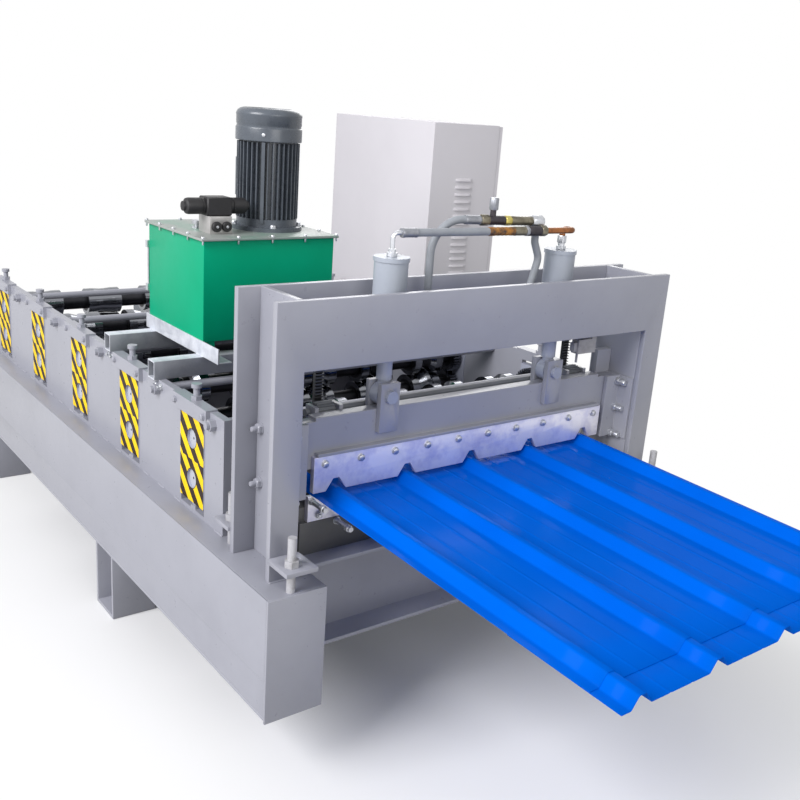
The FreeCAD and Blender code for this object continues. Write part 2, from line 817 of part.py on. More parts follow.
# Gearmotor on a plate across the infeed end, its sprocket in line with the last shaft
drive_y = wall_back + drive_behind
drive_z = bed_top + drive_height
last_row_x = sprocket_x + (stations - 1) % 2*sprocket_row
chains.append(chain_band(last_row_x, station_ys[-1], drive_y, lower_axis, drive_z, chain_r))
save("drive_chains", chains)
plate_top = bed_top + drive_plate_thick
save("drive_base_plate", box(drive_plate_inner, beam_inner + drive_plate_outer, drive_y - drive_plate_half,
                             drive_y + drive_plate_half, bed_top, plate_top))
gearbox_left = gearbox_right - gearbox_width
motor_right = gearbox_left - bell_length
motor_left = motor_right - motor_length
save("drive_gearmotor", fuse([
    box(gearbox_left, gearbox_right, drive_y - gearbox_half, drive_y + gearbox_half,
        plate_top, plate_top + gearbox_height),
    rod((gearbox_right, drive_y, drive_z), (1, 0, 0), gearbox_flange_r, gearbox_flange),
    rod((motor_right, drive_y, drive_z), (1, 0, 0), bell_r, bell_length),
    rod((motor_left, drive_y, drive_z), (1, 0, 0), motor_r, motor_length),
    rod((motor_left - fan_length, drive_y, drive_z), (1, 0, 0), fan_r, fan_length),
    box(motor_left + motor_foot_inset, motor_right - motor_foot_inset/2, drive_y - motor_foot_half,
        drive_y + motor_foot_half, plate_top, drive_z)]))
output_x = gearbox_right + gearbox_flange
save("drive_sprocket", fuse([
    rod((output_x, drive_y, drive_z), (1, 0, 0), output_r, shaft_right - output_x),
    rod((last_row_x, drive_y, drive_z), (1, 0, 0), sprocket_r, sprocket_width)]))

# Entry guide: a crossbar on two posts that carries the flat strip, with a side plate at each edge
entry_y = bed_back - entry_inset
entry_back = entry_y + entry_bar
flat_line = sheet_line(station_rib(bed_back))
bar_top = sheet_z - sheet_thick/2
bar_end = beam_outer - entry_post_inset
post = box(-bar_end, -bar_end + entry_bar, entry_y, entry_back, bed_top, bar_top - entry_bar_height)
entry = both_sides(post) + [box(-bar_end, bar_end, entry_y, entry_back, bar_top - entry_bar_height, bar_top)]
for edge, side in ((flat_line[0][0], -1), (flat_line[-1][0], 1)):
    near = edge + side*strip_gap
    entry.append(box(near, near + side*strip_guide, entry_y - strip_guide_length, entry_back,
                     bar_top, bar_top + strip_guide_height))
save("entry_guide", fuse(entry))

# Shear portal: front and back plates with an open gate, joined by webs
def portal_plate_at(y):
    plate = box(-portal_half, portal_half, y, y + portal_plate, bed_top, portal_top)
    return plate.cut(box(-gate, gate, y - past, y + portal_plate + past, bed_top - past, seat_z))


save("portal_front_plate", portal_plate_at(0))
save("portal_back_plate", portal_plate_at(portal_back_y))
web = box(-portal_web_outer, -inner_web, portal_plate, portal_back_y, bed_top, portal_top)
seat = box(cylinder_x - seat_length/2, cylinder_x + seat_length/2, portal_plate, portal_back_y,
           seat_z, seat_z + seat_thick)
seat = seat.cut(rod((cylinder_x, ram_y, seat_z - past), (0, 0, 1), rod_r + seat_bore_gap,
                    seat_thick + 2*past))
save("portal_inner_plates", both_sides(web) + both_sides(seat))

# Anchor brackets and studs on both faces of each column
bracket_z0 = bed_top + bracket_z
bracket_z1 = bracket_z0 + bracket_thick
stud_x = -portal_half + stud_inset
rear_y0, rear_y1 = portal_back_y + portal_plate, wall_front - bracket_gap
brackets, studs = [], []
for y0, y1, stud_y, spare_y in ((-bracket_reach, 0, -stud_reach, -stud_reach + spare_hole_back),
                                (rear_y0, rear_y1, (rear_y0 + rear_y1)/2, (rear_y0 + rear_y1)/2)):
    bracket = box(-portal_half - bracket_over, -portal_half - bracket_over + bracket_width, y0, y1,
                  bracket_z0, bracket_z1)
    for x, y, r in ((stud_x, stud_y, stud_r), (-portal_web_outer, spare_y, spare_hole_r)):
        bracket = bracket.cut(rod((x, y, bracket_z0 - past), (0, 0, 1), r, bracket_thick + 2*past))
    brackets += both_sides(bracket)
    studs += both_sides(fuse([
        rod((stud_x, stud_y, bed_top), (0, 0, 1), stud_r, stud_height),
        hexagon((stud_x, stud_y, bracket_z1), "z", stud_nut, stud_nut_height)]))
save("anchor_brackets", brackets)
save("anchor_studs", studs)

# Hydraulic cylinders: hollow, with a cap, a gland for the rod and a top port


def ram(x):
    body = rod((x, ram_y, cylinder_z0), (0, 0, 1), cylinder_r, cylinder_length)
    cap = rod((x, ram_y, cylinder_z1 - cap_height), (0, 0, 1), cap_r, cap_height)
    flange = rod((x, ram_y, cylinder_z0), (0, 0, 1), cylinder_r + foot_ring, foot_ring_height)
    hollow = rod((x, ram_y, cylinder_z0 + gland_height), (0, 0, 1), cylinder_bore,
                 cylinder_length - gland_height - cap_height)
    gland = rod((x, ram_y, cylinder_z0 - past), (0, 0, 1), rod_r + rod_gap, gland_height + 2*past)
    return fuse([body, cap, flange]).cut(hollow).cut(gland)


save("hydraulic_cylinders", [ram(-cylinder_x), ram(cylinder_x)])

# Blade carriage: notched blade, beam, clevises with pins, rods
rib_xs = rib_centres(rib_height)
outline = [(-blade_half, blade_front, blade_z0)]
for x in rib_xs:
    outline += [(x + dx, blade_front, blade_z0 + dz) for dx, dz in (
        (-notch_bottom/2, 0), (-notch_top/2, notch_depth), (notch_top/2, notch_depth), (notch_bottom/2, 0))]
outline += [(blade_half, blade_front, blade_z0), (blade_half, blade_front, blade_z1),
            (-blade_half, blade_front, blade_z1)]
save("upper_blade", prism(outline, (0, blade_thick, 0)))
beam = box(-holder_half, holder_half, blade_back, holder_back, holder_z0, holder_z1)
shoe = box(-shoe_reach, -holder_half, blade_back, holder_back, holder_z0 + shoe_lift, holder_z1 - shoe_drop)
ledge = box(-holder_half, holder_half, blade_front - ledge_over, blade_back, blade_z1,
            blade_z1 + ledge_height)
save("blade_beam", fuse([beam, ledge] + both_sides(shoe)))
clevis_back = holder_back + clevis_thick
clevis = [box(cylinder_x - clevis_width/2, cylinder_x + clevis_width/2, y0, y1, clevis_z0, clevis_z1)
          for y0, y1 in ((blade_front, blade_back), (holder_back, clevis_back))]
pin_hole = rod((cylinder_x, blade_front - past, pin_z), (0, 1, 0), pin_r, clevis_back - blade_front + 2*past)
save("clevis_plates", [side for plate in clevis for side in both_sides(plate.cut(pin_hole))])
pin_y0, pin_y1 = blade_front - pin_head_length, clevis_back + pin_head_length
pin = fuse([
    rod((cylinder_x, pin_y0, pin_z), (0, 1, 0), pin_r, pin_y1 - pin_y0),
    rod((cylinder_x, pin_y0 - pin_head_length, pin_z), (0, 1, 0), pin_r + pin_head, 2*pin_head_length)])
save("clevis_pins", both_sides(pin))
stem_z0 = clevis_z1 + neck_step
ram_rod = fuse([
    rod((cylinder_x, blade_back + eye_gap, pin_z), (0, 1, 0), eye_r, holder_thick - 2*eye_gap),
    rod((cylinder_x, ram_y, pin_z + neck_step), (0, 0, 1), neck_r, stem_z0 - pin_z),
    rod((cylinder_x, ram_y, stem_z0), (0, 0, 1), rod_r, seat_z + piston_z + rod_overlap - stem_z0),
    rod((cylinder_x, ram_y, seat_z + piston_z), (0, 0, 1), cylinder_bore - rod_gap, piston_height)])
save("piston_rods", both_sides(ram_rod.cut(pin_hole)))

# Guides at both ends of the carriage, on the inside of the portal webs
guide_rear = holder_back + guide_back
save("blade_guides", both_sides(fuse([
    box(-inner_web, -guide_inner, guide_front, blade_back - slide_gap, guide_z0, guide_z1),
    box(-inner_web, -guide_inner, holder_back + slide_gap, guide_rear, guide_z0, guide_z1 + back_guide_rise),
    box(-inner_web, -inner_web + guide_leg, portal_plate, guide_front, guide_z0, guide_z1),
    box(-inner_web, -shoe_reach - slide_gap, guide_front, guide_rear, guide_z0, guide_z1)])))

# Balance shaft: two pinions on one shaft keep the carriage level on hanging racks
tooth_pitch = pi*gear_module
balance_half = pinion_x + balance_end
shaft = rod((-balance_half, balance_y, balance_z), (1, 0, 0), balance_r, 2*balance_half)
pinions = [spur_gear(x - pinion_width/2, pinion_width, balance_y, balance_z, gear_module, pinion_teeth)
           for x in (-pinion_x, pinion_x)]
save("balance_shaft", fuse([shaft] + pinions))
rack_line = balance_y + pitch_r
rack_x0, rack_x1 = pinion_x - rack_width/2, pinion_x + rack_width/2
rack_z0, rack_z1 = balance_z - rack_down, seat_z + rack_over
bar = box(rack_x0, rack_x1, rack_line + 1.5*gear_module, portal_back_y, rack_z0, rack_z1)
teeth = []
first_tooth = -int((rack_down - tooth_pitch)/tooth_pitch)
last_tooth = int((seat_z - balance_z)/tooth_pitch)
for i in range(first_tooth, last_tooth):
    z = balance_z + (i + 0.5)*tooth_pitch
    teeth.append(prism([(rack_x0, rack_line + depth*gear_module, z + share*tooth_pitch)
                        for depth, share in ((1.6, -0.32), (-0.9, -0.08), (-0.9, 0.08), (1.6, 0.32))],
                       (rack_width, 0, 0)))
save("rack_bars", both_sides(bar.multiFuse(teeth).removeSplitter()))
bearings = []
for x in (pinion_x - pinion_width/2 - bearing_gap - bearing_thick, pinion_x + pinion_width/2 + bearing_gap):
    plate = box(x, x + bearing_thick, holder_back, balance_y + bearing_behind, balance_z - bearing_half,
                balance_z + bearing_half)
    plate = plate.cut(rod((x - past, balance_y, balance_z), (1, 0, 0), balance_r + journal_gap,
                          bearing_thick + 2*past))
    bearings += both_sides(plate)
save("shaft_brackets", bearings)

# Lower blade and its holder on the first cross beam
lower_front = blade_back + lower_blade_gap
lower_back = lower_front + blade_thick
lower_z0 = bed_top + lower_blade_z
support_z = sheet_z - sheet_thick/2
outline = [(-blade_half, lower_front, lower_z0), (blade_half, lower_front, lower_z0),
           (blade_half, lower_front, support_z)]
foot, head = rib_half_foot(rib_height) - cut_gap, rib_top/2 - cut_gap
for x in rib_xs[::-1]:
    outline += [(x + dx, lower_front, support_z + dz) for dx, dz in (
        (foot, 0), (head, rib_height), (-head, rib_height), (-foot, 0))]
outline.append((-blade_half, lower_front, support_z))
save("lower_blade", prism(outline, (0, blade_thick, 0)))
lower_holder_half = blade_half + lower_holder_over
save("lower_blade_holder", fuse([
    box(-lower_holder_half, lower_holder_half, lower_back, cross_first_y + cross_flange_width/2,
        bed_top, bed_top + lower_holder_height),
    box(-lower_holder_half, lower_holder_half, lower_front, lower_back, bed_top, lower_z0)]))

# Tank frame: two tubes across the walls and two angle rails along them
tank_right, tank_back = tank_left + tank_width, tank_front + tank_depth
rail_y0, rail_y1 = tube_front_y - rail_before, tank_back + rail_behind
frame_parts = []
for y in (tube_front_y, tube_rear_y):
    hollow = box(-tube_half - past, tube_half + past, y + tube_wall, y + tube_width - tube_wall,
                 tube_z0 + tube_wall, tube_z1 - tube_wall)
    frame_parts.append(box(-tube_half, tube_half, y, y + tube_width, tube_z0, tube_z1).cut(hollow))
for x, sign in ((tank_left - rail_thick, 1), (tank_right + rail_thick, -1)):
    frame_parts.append(box(x, x + sign*rail_thick, rail_y0, rail_y1, tube_z1, tube_z1 + rail_size))
    frame_parts.append(box(x, x + sign*rail_size, rail_y0, rail_y1, tube_z1, tube_z1 + rail_thick))
save("tank_frame", fuse(frame_parts))

# Oil tank on four feet, with its lid
tank_z1 = tank_z0 + tank_height
tank = box(tank_left, tank_right, tank_front, tank_back, tank_z0, tank_z1)
tank = tank.cut(box(tank_left + tank_wall, tank_right - tank_wall, tank_front + tank_wall,
                    tank_back - tank_wall, tank_z0 + tank_wall, tank_z1 + past))
feet = [box(x, x + tank_foot, y, y + tank_foot, tube_z1 + rail_thick, tank_z0)
        for x in (tank_left + tank_foot_inset, tank_right - tank_foot_inset - tank_foot)
        for y in (tank_front + tank_foot_inset, tank_back - tank_foot_inset - tank_foot)]
save("oil_tank", fuse([tank] + feet))
lid_top = tank_z1 + lid_thick
save("tank_lid", box(tank_left - lid_over, tank_right + lid_over, tank_front - lid_over,
                     tank_back + lid_over, tank_z1, lid_top))

# Pump motor standing on the lid
motor_x, motor_y = tank_left + pump_x, tank_front + pump_y
fins = []
motor_core = fuse([
    rod((motor_x, motor_y, lid_top), (0, 0, 1), pump_base_r, pump_base),
    rod((motor_x, motor_y, lid_top + pump_base), (0, 0, 1), pump_body_r, pump_body),
    rod((motor_x, motor_y, lid_top + pump_base), (0, 0, 1), pump_flange_r, pump_flange),
    box(motor_x - terminal_half, motor_x + terminal_half, motor_y + terminal_in, motor_y + terminal_out,
        lid_top + terminal_z, lid_top + terminal_z + terminal_height)])
for i in range(pump_fins):
    fin = box(motor_x + pump_fin_root, motor_x + pump_fin_r, motor_y - pump_fin/2, motor_y + pump_fin/2,
              lid_top + pump_fin_z, lid_top + pump_fin_z + pump_fin_length)
    fin.rotate(V(motor_x, motor_y, 0), V(0, 0, 1), 360/pump_fins*i)
    fins.append(fin)
save("pump_motor", motor_core.multiFuse(fins))
save("motor_fan_cowl", fuse([
    rod((motor_x, motor_y, lid_top + cowl_z), (0, 0, 1), cowl_r, cowl_height),
    Part.makeCone(cowl_r, cowl_top_r, cowl_dome, V(motor_x, motor_y, lid_top + cowl_z + cowl_height))]))

# Directional valve on its manifold
manifold_x, valve_y = tank_left + valve_x, tank_front + valve_back
manifold_top = lid_top + manifold_height
manifold = box(manifold_x - manifold_half, manifold_x + manifold_half, valve_y - manifold_half_depth,
               valve_y + manifold_half_depth, lid_top, manifold_top)
for x in (manifold_x - manifold_port_x, manifold_x + manifold_port_x):
    manifold = manifold.cut(rod((x, valve_y - manifold_half_depth - past, lid_top + manifold_port_z),
                                (0, 1, 0), manifold_port_r, manifold_port_depth))
save("valve_manifold", manifold)
coils = [box(manifold_x + side*valve_half, manifold_x + side*coil_reach, valve_y - coil_half_depth,
             valve_y + coil_half_depth, manifold_top + coil_inset, manifold_top + valve_height - coil_inset)
         for side in (-1, 1)]
save("directional_valve", fuse(coils + [
    box(manifold_x - valve_half, manifold_x + valve_half, valve_y - valve_half_depth,
        valve_y + valve_half_depth, manifold_top, manifold_top + valve_height)]))

# Control cabinet beside the bed
cabinet_x0, cabinet_x1 = bed_outer, bed_outer + cabinet_width
cabinet_y0, cabinet_y1 = cabinet_front_y, cabinet_front_y + cabinet_length
case_x1 = cabinet_x1 - door_thick
cabinet = box(cabinet_x0, case_x1, cabinet_y0, cabinet_y1, floor, cabinet_height)
inner_y0, inner_y1 = cabinet_y0 + cabinet_sheet, cabinet_y1 - cabinet_sheet
inside = box(cabinet_x0 + cabinet_sheet, cabinet_x1, inner_y0, inner_y1, plinth_height,
             cabinet_height - cabinet_sheet)
plinth = box(cabinet_x0 + cabinet_sheet, case_x1 - cabinet_sheet, inner_y0, inner_y1,
             cabinet_sheet, plinth_height - cabinet_sheet)
save("control_cabinet", cabinet.cut(inside).cut(plinth))
door_y0, door_y1 = cabinet_y0 + door_gap, cabinet_y1 - door_gap
door_top = cabinet_height - 2*door_gap
door = box(case_x1, cabinet_x1, door_y0, door_y1, plinth_height, door_top)
pressed = box(case_x1 - past, cabinet_x1 - cabinet_sheet, door_y0 + cabinet_sheet, door_y1 - cabinet_sheet,
              plinth_height + cabinet_sheet, door_top - cabinet_sheet)
save("cabinet_door", door.cut(pressed))

# Limit switch on the inside of the front portal plate, its roller arm down towards the beam
strap_x = cylinder_x + seat_length/2 + past
switch_x0 = strap_x + switch_over - switch_length
arm_x = switch_x0 + switch_arm_x
face = portal_plate + switch_depth
save("limit_switch", fuse([
    box(switch_x0, switch_x0 + switch_length, portal_plate, face, seat_z - switch_low, seat_z - switch_top),
    box(switch_x0 - switch_plug, switch_x0, face - switch_plug_depth - switch_strap_thick,
        face - switch_strap_thick, seat_z - switch_plug_low, seat_z - switch_plug_top),
    rod((arm_x, face + switch_arm_r, seat_z - switch_arm_low), (0, 0, 1), switch_arm_r, switch_arm_length),
    rod((arm_x, face, seat_z - switch_hub_low), (0, 1, 0), switch_hub_r, switch_hub),
    box(strap_x, strap_x + switch_strap, portal_plate, portal_plate + switch_strap_thick,
        seat_z - switch_low, seat_z + switch_strap_rise)]))


# Hoses
def on_line(start, end, x):
    """The point of a line at one X."""
    share = (x - start[0])/(end[0] - start[0])
    return tuple(a + (b - a)*share for a, b in zip(start, end))


def line_up(start, end, x, pieces):
    """Round and hexagon pieces end to end along a line from one X; each is (kind, size, reach in X)."""
    along = V(*end) - V(*start)
    solids = []
    for kind, size, reach in pieces:
        first, last = V(*on_line(start, end, x)), V(*on_line(start, end, x + reach))
        make = hex_bar if kind == "hex" else rod
        solids.append(make(tuple(first), tuple(along), size, (last - first).Length))
        x += reach
    return solids, x


upper_z = cylinder_z1 + upper_line_rise
lower_line_z = cylinder_z1 + lower_line_rise
cap_nut_top = cylinder_z1 + cap_port_top
upper_a = (-cylinder_x, ram_y, upper_z)
upper_b = (cylinder_x + upper_line_past, ram_y - upper_line_forward, upper_z)
lower_a = (-cylinder_x, ram_y + lower_line_y, lower_line_z + lower_line_fall/3)
lower_b = (lower_line_right, ram_y + lower_line_shift, lower_line_z - lower_line_fall*2/3)
nuts = [hexagon((x, ram_y, cylinder_z1), "z", cap_nut, cap_port_top) for x in (-cylinder_x, cylinder_x)]
left_start = -cylinder_x + left_ferrule_x
left_pieces, upper_hose_x0 = line_up(upper_a, upper_b, left_start, [("round", ferrule_r, left_ferrule)])
left_elbow = bent_tube([(-cylinder_x, ram_y, cap_nut_top - past), upper_a,
                        on_line(upper_a, upper_b, left_start)], [elbow_bend], elbow_r)
upper_hose_x1 = cylinder_x - right_group_x
right_pieces, pipe_x = line_up(upper_a, upper_b, upper_hose_x1, [
    ("round", ferrule_r, right_ferrule), ("hex", right_nut, right_nut_length),
    ("round", tee_r, tee_length), ("hex", pipe_nut, pipe_nut_length)])
right_pipe = bent_tube([on_line(upper_a, upper_b, pipe_x), upper_b, (cylinder_x, ram_y, upper_z),
                        (cylinder_x, ram_y, cap_nut_top - past)], [pipe_bend]*2, pipe_r)
lower_pieces, lower_end_x = line_up(lower_a, lower_b, lower_group_x, [
    ("round", ferrule_r, lower_ferrule), ("hex", lower_nut, lower_nut_length),
    ("round", lower_tee_r, lower_tee), ("hex", lower_joint, lower_joint_length),
    ("round", lower_tee_r, lower_sleeve), ("hex", lower_end, lower_end_length)])
riser = on_line(lower_a, lower_b, lower_group_x + riser_x)
riser_parts = [rod(riser, (0, 0, 1), riser_r, riser_height),
               hexagon((riser[0], riser[1], riser[2] + riser_nut_z), "z", riser_nut, riser_nut_length)]
drop = on_line(lower_a, lower_b, lower_group_x + drop_x)
drop_z = drop[2] - drop_length
drop_part = rod((drop[0], drop[1], drop_z), (0, 0, 1), ferrule_r, drop_length)

# Lower ports, each on the inner side of its cylinder
port_z = cylinder_z0 - seat_thick + port_rise
loop_y = on_line(lower_a, lower_b, loop_x)[1]
ports = []
for side, port_y in ((-1, loop_y), (1, drop[1])):
    near = side*(cylinder_x - cylinder_r - port_length)
    deep = side*(cylinder_x - sqrt(cylinder_r**2 - (port_y - ram_y)**2) + port_depth)
    nut_x = near if side < 0 else near - port_nut_length
    port = fuse([rod((min(near, deep), port_y, port_z), (1, 0, 0), port_r, abs(deep - near)),
                 hexagon((nut_x, port_y, port_z), "x", port_nut, port_nut_length)])
    ports.append(port.cut(rod((side*cylinder_x, ram_y, cylinder_z0), (0, 0, 1), cylinder_r, cylinder_length)))
save("hose_fittings", [fuse(left_pieces + [left_elbow, nuts[0]]), fuse(right_pieces + [right_pipe, nuts[1]]),
                       fuse(lower_pieces + riser_parts + [drop_part])] + ports)
port_face = cylinder_x - cylinder_r - port_length - port_nut_length
hose_start, hose_end = on_line(upper_a, upper_b, upper_hose_x0), on_line(upper_a, upper_b, upper_hose_x1)
upper_hose = V(*hose_end) - V(*hose_start)
swing_z, back_z = drop_z - drop_swing_z, port_z + drop_back_z
save("hydraulic_hoses", [
    rod(hose_start, tuple(upper_hose), hose_r, upper_hose.Length),
    bent_tube([(-port_face, loop_y, port_z), (loop_x, loop_y, port_z), on_line(lower_a, lower_b, loop_x),
               on_line(lower_a, lower_b, lower_group_x)], [hose_bend, loop_bend], hose_r),
    bent_tube([(drop[0], drop[1], drop_z), (drop[0], drop[1], drop_z - drop_straight),
               (drop[0] + drop_swing, drop[1], swing_z), (port_face - drop_back, drop[1], back_z),
               (port_face - drop_turn, drop[1], port_z), (port_face, drop[1], port_z)],
              [drop_bend]*4, hose_r)])
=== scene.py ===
from math import pi, radians

import bmesh
import bpy
import numpy as np
from mathutils import Matrix, Vector


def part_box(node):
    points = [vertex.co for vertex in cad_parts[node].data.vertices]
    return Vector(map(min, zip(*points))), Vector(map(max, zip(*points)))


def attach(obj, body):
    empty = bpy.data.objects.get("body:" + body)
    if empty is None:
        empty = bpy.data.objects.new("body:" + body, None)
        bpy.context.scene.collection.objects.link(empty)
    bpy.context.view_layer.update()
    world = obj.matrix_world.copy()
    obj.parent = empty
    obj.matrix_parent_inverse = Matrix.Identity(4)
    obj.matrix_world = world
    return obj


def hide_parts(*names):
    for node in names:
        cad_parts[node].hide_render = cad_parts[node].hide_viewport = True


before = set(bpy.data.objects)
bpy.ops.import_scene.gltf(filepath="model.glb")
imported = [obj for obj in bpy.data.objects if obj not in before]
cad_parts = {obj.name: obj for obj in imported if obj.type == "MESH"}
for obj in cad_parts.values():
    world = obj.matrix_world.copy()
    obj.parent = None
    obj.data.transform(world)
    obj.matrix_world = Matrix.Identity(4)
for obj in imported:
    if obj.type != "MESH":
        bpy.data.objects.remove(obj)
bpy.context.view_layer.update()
scene = bpy.context.scene
scene.view_settings.view_transform = "Standard"


# Bed and side walls
# Two heavy welded beams with cross beams and short legs, and on them two walls held apart by tie
# bars. All are sprayed in one coat of light grey-blue machine enamel, a little uneven and rubbed.
def enamel(red, green, blue):
    """A paint-chart colour, 0 to 255, as the linear colour that shaders take."""
    shares = np.array([red, green, blue])/255
    linear = np.where(shares <= 0.04045, shares/12.92, ((shares + 0.055)/1.055)**2.4)
    return (*linear, 1.0)


def add(tree, kind, inputs=None, **settings):
    """One shader node, its sockets given as values or as sockets to link from."""
    made = tree.nodes.new("ShaderNode" + kind)
    for key, value in settings.items():
        setattr(made, key, value)
    for key, value in (inputs or {}).items():
        if isinstance(value, bpy.types.NodeSocket):
            tree.links.new(value, made.inputs[key])
        else:
            made.inputs[key].default_value = value
    return made


def maths(tree, operation, *values):
    """The output of one Math node on values or sockets."""
    return add(tree, "Math", dict(enumerate(values)), operation=operation).outputs[0]


def blended(tree, share, first, second):
    """Two colours mixed by a share: 0 gives the first, 1 the second."""
    return add(tree, "Mix", {"Factor": share, 6: first, 7: second}, data_type="RGBA").outputs[2]


def make_skin_group():
    """Uneven coat: broad patches shift the colour, small spots the gloss and fine grain the height."""
    group = bpy.data.node_groups.new("uneven_skin", "ShaderNodeTree")
    for label, kind, start in (("Color", "NodeSocketColor", (0.5, 0.5, 0.5, 1)),
                               ("Worn Color", "NodeSocketColor", (0.5, 0.5, 0.5, 1)),
                               ("Patches", "NodeSocketFloat", 0.3), ("Size", "NodeSocketFloat", 4.0),
                               ("Roughness", "NodeSocketFloat", 0.4), ("Spread", "NodeSocketFloat", 0.15)):
        socket = group.interface.new_socket(name=label, in_out="INPUT", socket_type=kind)
        socket.default_value = start
    for label, kind in (("Color", "NodeSocketColor"), ("Roughness", "NodeSocketFloat"),
                        ("Height", "NodeSocketFloat")):
        group.interface.new_socket(name=label, in_out="OUTPUT", socket_type=kind)
    given, out = group.nodes.new("NodeGroupInput"), group.nodes.new("NodeGroupOutput")
    place = add(group, "TexCoord").outputs["Object"]
    broad = add(group, "TexNoise", {"Vector": place, "Scale": given.outputs["Size"], "Detail": 4.0,
                                    "Roughness": 0.62})
    grain = add(group, "TexNoise", {"Vector": place, "Scale": 420.0, "Detail": 2.0})
    spots = add(group, "TexNoise", {"Vector": place, "Scale": 38.0, "Detail": 5.0, "Roughness": 0.7})
    patch = add(group, "MapRange", {"Value": broad.outputs["Fac"], "From Min": 0.42, "From Max": 0.68})
    share = maths(group, "MULTIPLY", patch.outputs["Result"], given.outputs["Patches"])
    colour = blended(group, share, given.outputs["Color"], given.outputs["Worn Color"])
    rough = maths(group, "MULTIPLY_ADD", spots.outputs["Fac"], given.outputs["Spread"],
                  given.outputs["Roughness"])
    group.links.new(colour, out.inputs["Color"])
    group.links.new(rough, out.inputs["Roughness"])
    group.links.new(grain.outputs["Fac"], out.inputs["Height"])
    return group


skin_group = make_skin_group()


def coated(name, colour, worn, patches=0.35, size=4.0, roughness=0.42, spread=0.16, bump=0.00006,
           metallic=0.0, specular=0.5):
    """A material whose colour, gloss and fine bump come from the uneven skin."""
    material = bpy.data.materials.new(name)
    material.use_nodes = True
    tree = material.node_tree
    shader = tree.nodes["Principled BSDF"]
    shader.inputs["Metallic"].default_value = metallic
    shader.inputs["Specular IOR Level"].default_value = specular
    skin = tree.nodes.new("ShaderNodeGroup")
    skin.node_tree = skin_group
    for key, value in (("Color", enamel(*colour)), ("Worn Color", enamel(*worn)), ("Patches", patches),
                       ("Size", size), ("Roughness", roughness), ("Spread", spread)):
        skin.inputs[key].default_value = value
    rise = add(tree, "Bump", {"Height": skin.outputs["Height"], "Distance": bump, "Strength": 0.6})
    tree.links.new(skin.outputs["Color"], shader.inputs["Base Color"])
    tree.links.new(skin.outputs["Roughness"], shader.inputs["Roughness"])
    tree.links.new(rise.outputs["Normal"], shader.inputs["Normal"])
    return material


def dress(material, *nodes):
    """Gives CAD nodes a material in place of their own."""
    for name in nodes:
        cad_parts[name].data.materials.clear()
        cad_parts[name].data.materials.append(material)


def softened(node, material, edge=0.0016, body="machine_frame"):
    """A copy of a CAD node with its sharp plate edges rounded; it stands for the node."""
    same_point, same_plane, sharp = 0.00002, radians(1.0), radians(35)
    work = bmesh.new()
    work.from_mesh(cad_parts[node].data)
    bmesh.ops.remove_doubles(work, verts=work.verts, dist=same_point)
    bmesh.ops.dissolve_limit(work, angle_limit=same_plane, verts=work.verts, edges=work.edges)
    mesh = bpy.data.meshes.new(node + "_softened")
    work.to_mesh(mesh)
    work.free()
    mesh.shade_smooth()
    mesh.materials.append(material)
    piece = bpy.data.objects.new(node + "_softened", mesh)
    scene.collection.objects.link(piece)
    bevel = piece.modifiers.new("edges", "BEVEL")
    bevel.width = edge
    bevel.segments = 2
    bevel.limit_method = "ANGLE"
    bevel.angle_limit = sharp
    bevel.harden_normals = True
    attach(piece, body)
    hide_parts(node)
    return piece


machine_enamel = coated("machine_enamel", (153, 154, 163), (140, 141, 150), patches=0.4, roughness=0.22,
                        spread=0.16)
for bed_part in ("bed_side_plates", "bed_end_plates", "bed_beams", "bed_cross_beams", "bed_legs"):
    softened(bed_part, machine_enamel)
dress(machine_enamel, "side_walls", "tie_bars")


# Weld seams on the bed
# Hand-laid fillets where the beams' plates, the walls and the portal meet: overlapping
# crescents of weld metal, painted over with the same enamel.
def link_piece(name, vertices, faces, material, smooth_angle=40, body="machine_frame"):
    """A closed mesh from arrays, smooth below an angle in degrees, riding on a body."""
    mesh = bpy.data.meshes.new(name)
    mesh.from_pydata(np.asarray(vertices).reshape(-1, 3).tolist(), [], faces)
    mesh.shade_smooth()
    mesh.set_sharp_from_angle(angle=radians(smooth_angle))
    mesh.materials.append(material)
    piece = bpy.data.objects.new(name, mesh)
    scene.collection.objects.link(piece)
    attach(piece, body)
    return piece


def grid_faces(rings, sides, start=0, closed=True):
    """Quads between neighbouring rings of points: ring*sides + side is joined to the next side and
    the next ring. Closed rings also get a flat cap on the first and the last."""
    across = sides if closed else sides - 1
    ring, side = np.meshgrid(np.arange(rings - 1), np.arange(across), indexing="ij")
    a = start + ring*sides + side
    b = start + ring*sides + (side + 1) % sides
    faces = np.stack([a, b, b + sides, a + sides], axis=-1).reshape(-1, 4).tolist()
    if closed:
        faces.append(list(range(start + sides - 1, start - 1, -1)))
        faces.append(list(range(start + (rings - 1)*sides, start + rings*sides)))
    return faces


def weld_beads(name, runs, radius=0.0032, ripple=0.006):
    """Round beads along straight runs: radius*(0.82 + 0.18*|sin(pi*way/ripple)|), and thinner toward
    both ends."""
    points, faces, sides, askew = [], [], 8, (0.3, 0.5, 0.81)
    around = np.arange(sides)*2*pi/sides
    for first, last in runs:
        first, last = np.array(first, float), np.array(last, float)
        length = np.linalg.norm(last - first)
        along = (last - first)/length
        over = np.cross(along, askew)
        over /= np.linalg.norm(over)
        across = np.cross(along, over)
        steps = max(6, int(length/ripple*2.5))
        s = np.linspace(0, 1, steps)
        ends = np.minimum(1, 40*s*(1 - s) + 0.2)
        swell = radius*(0.82 + 0.18*np.abs(np.sin(pi*s*length/ripple)))*ends
        circle = np.cos(around)[:, None]*over + np.sin(around)[:, None]*across
        ring = first + s[:, None, None]*length*along + swell[:, None, None]*circle
        faces += grid_faces(steps, sides, len(points))
        points += ring.reshape(-1, 3).tolist()
    return link_piece(name, points, faces, machine_enamel, smooth_angle=180)


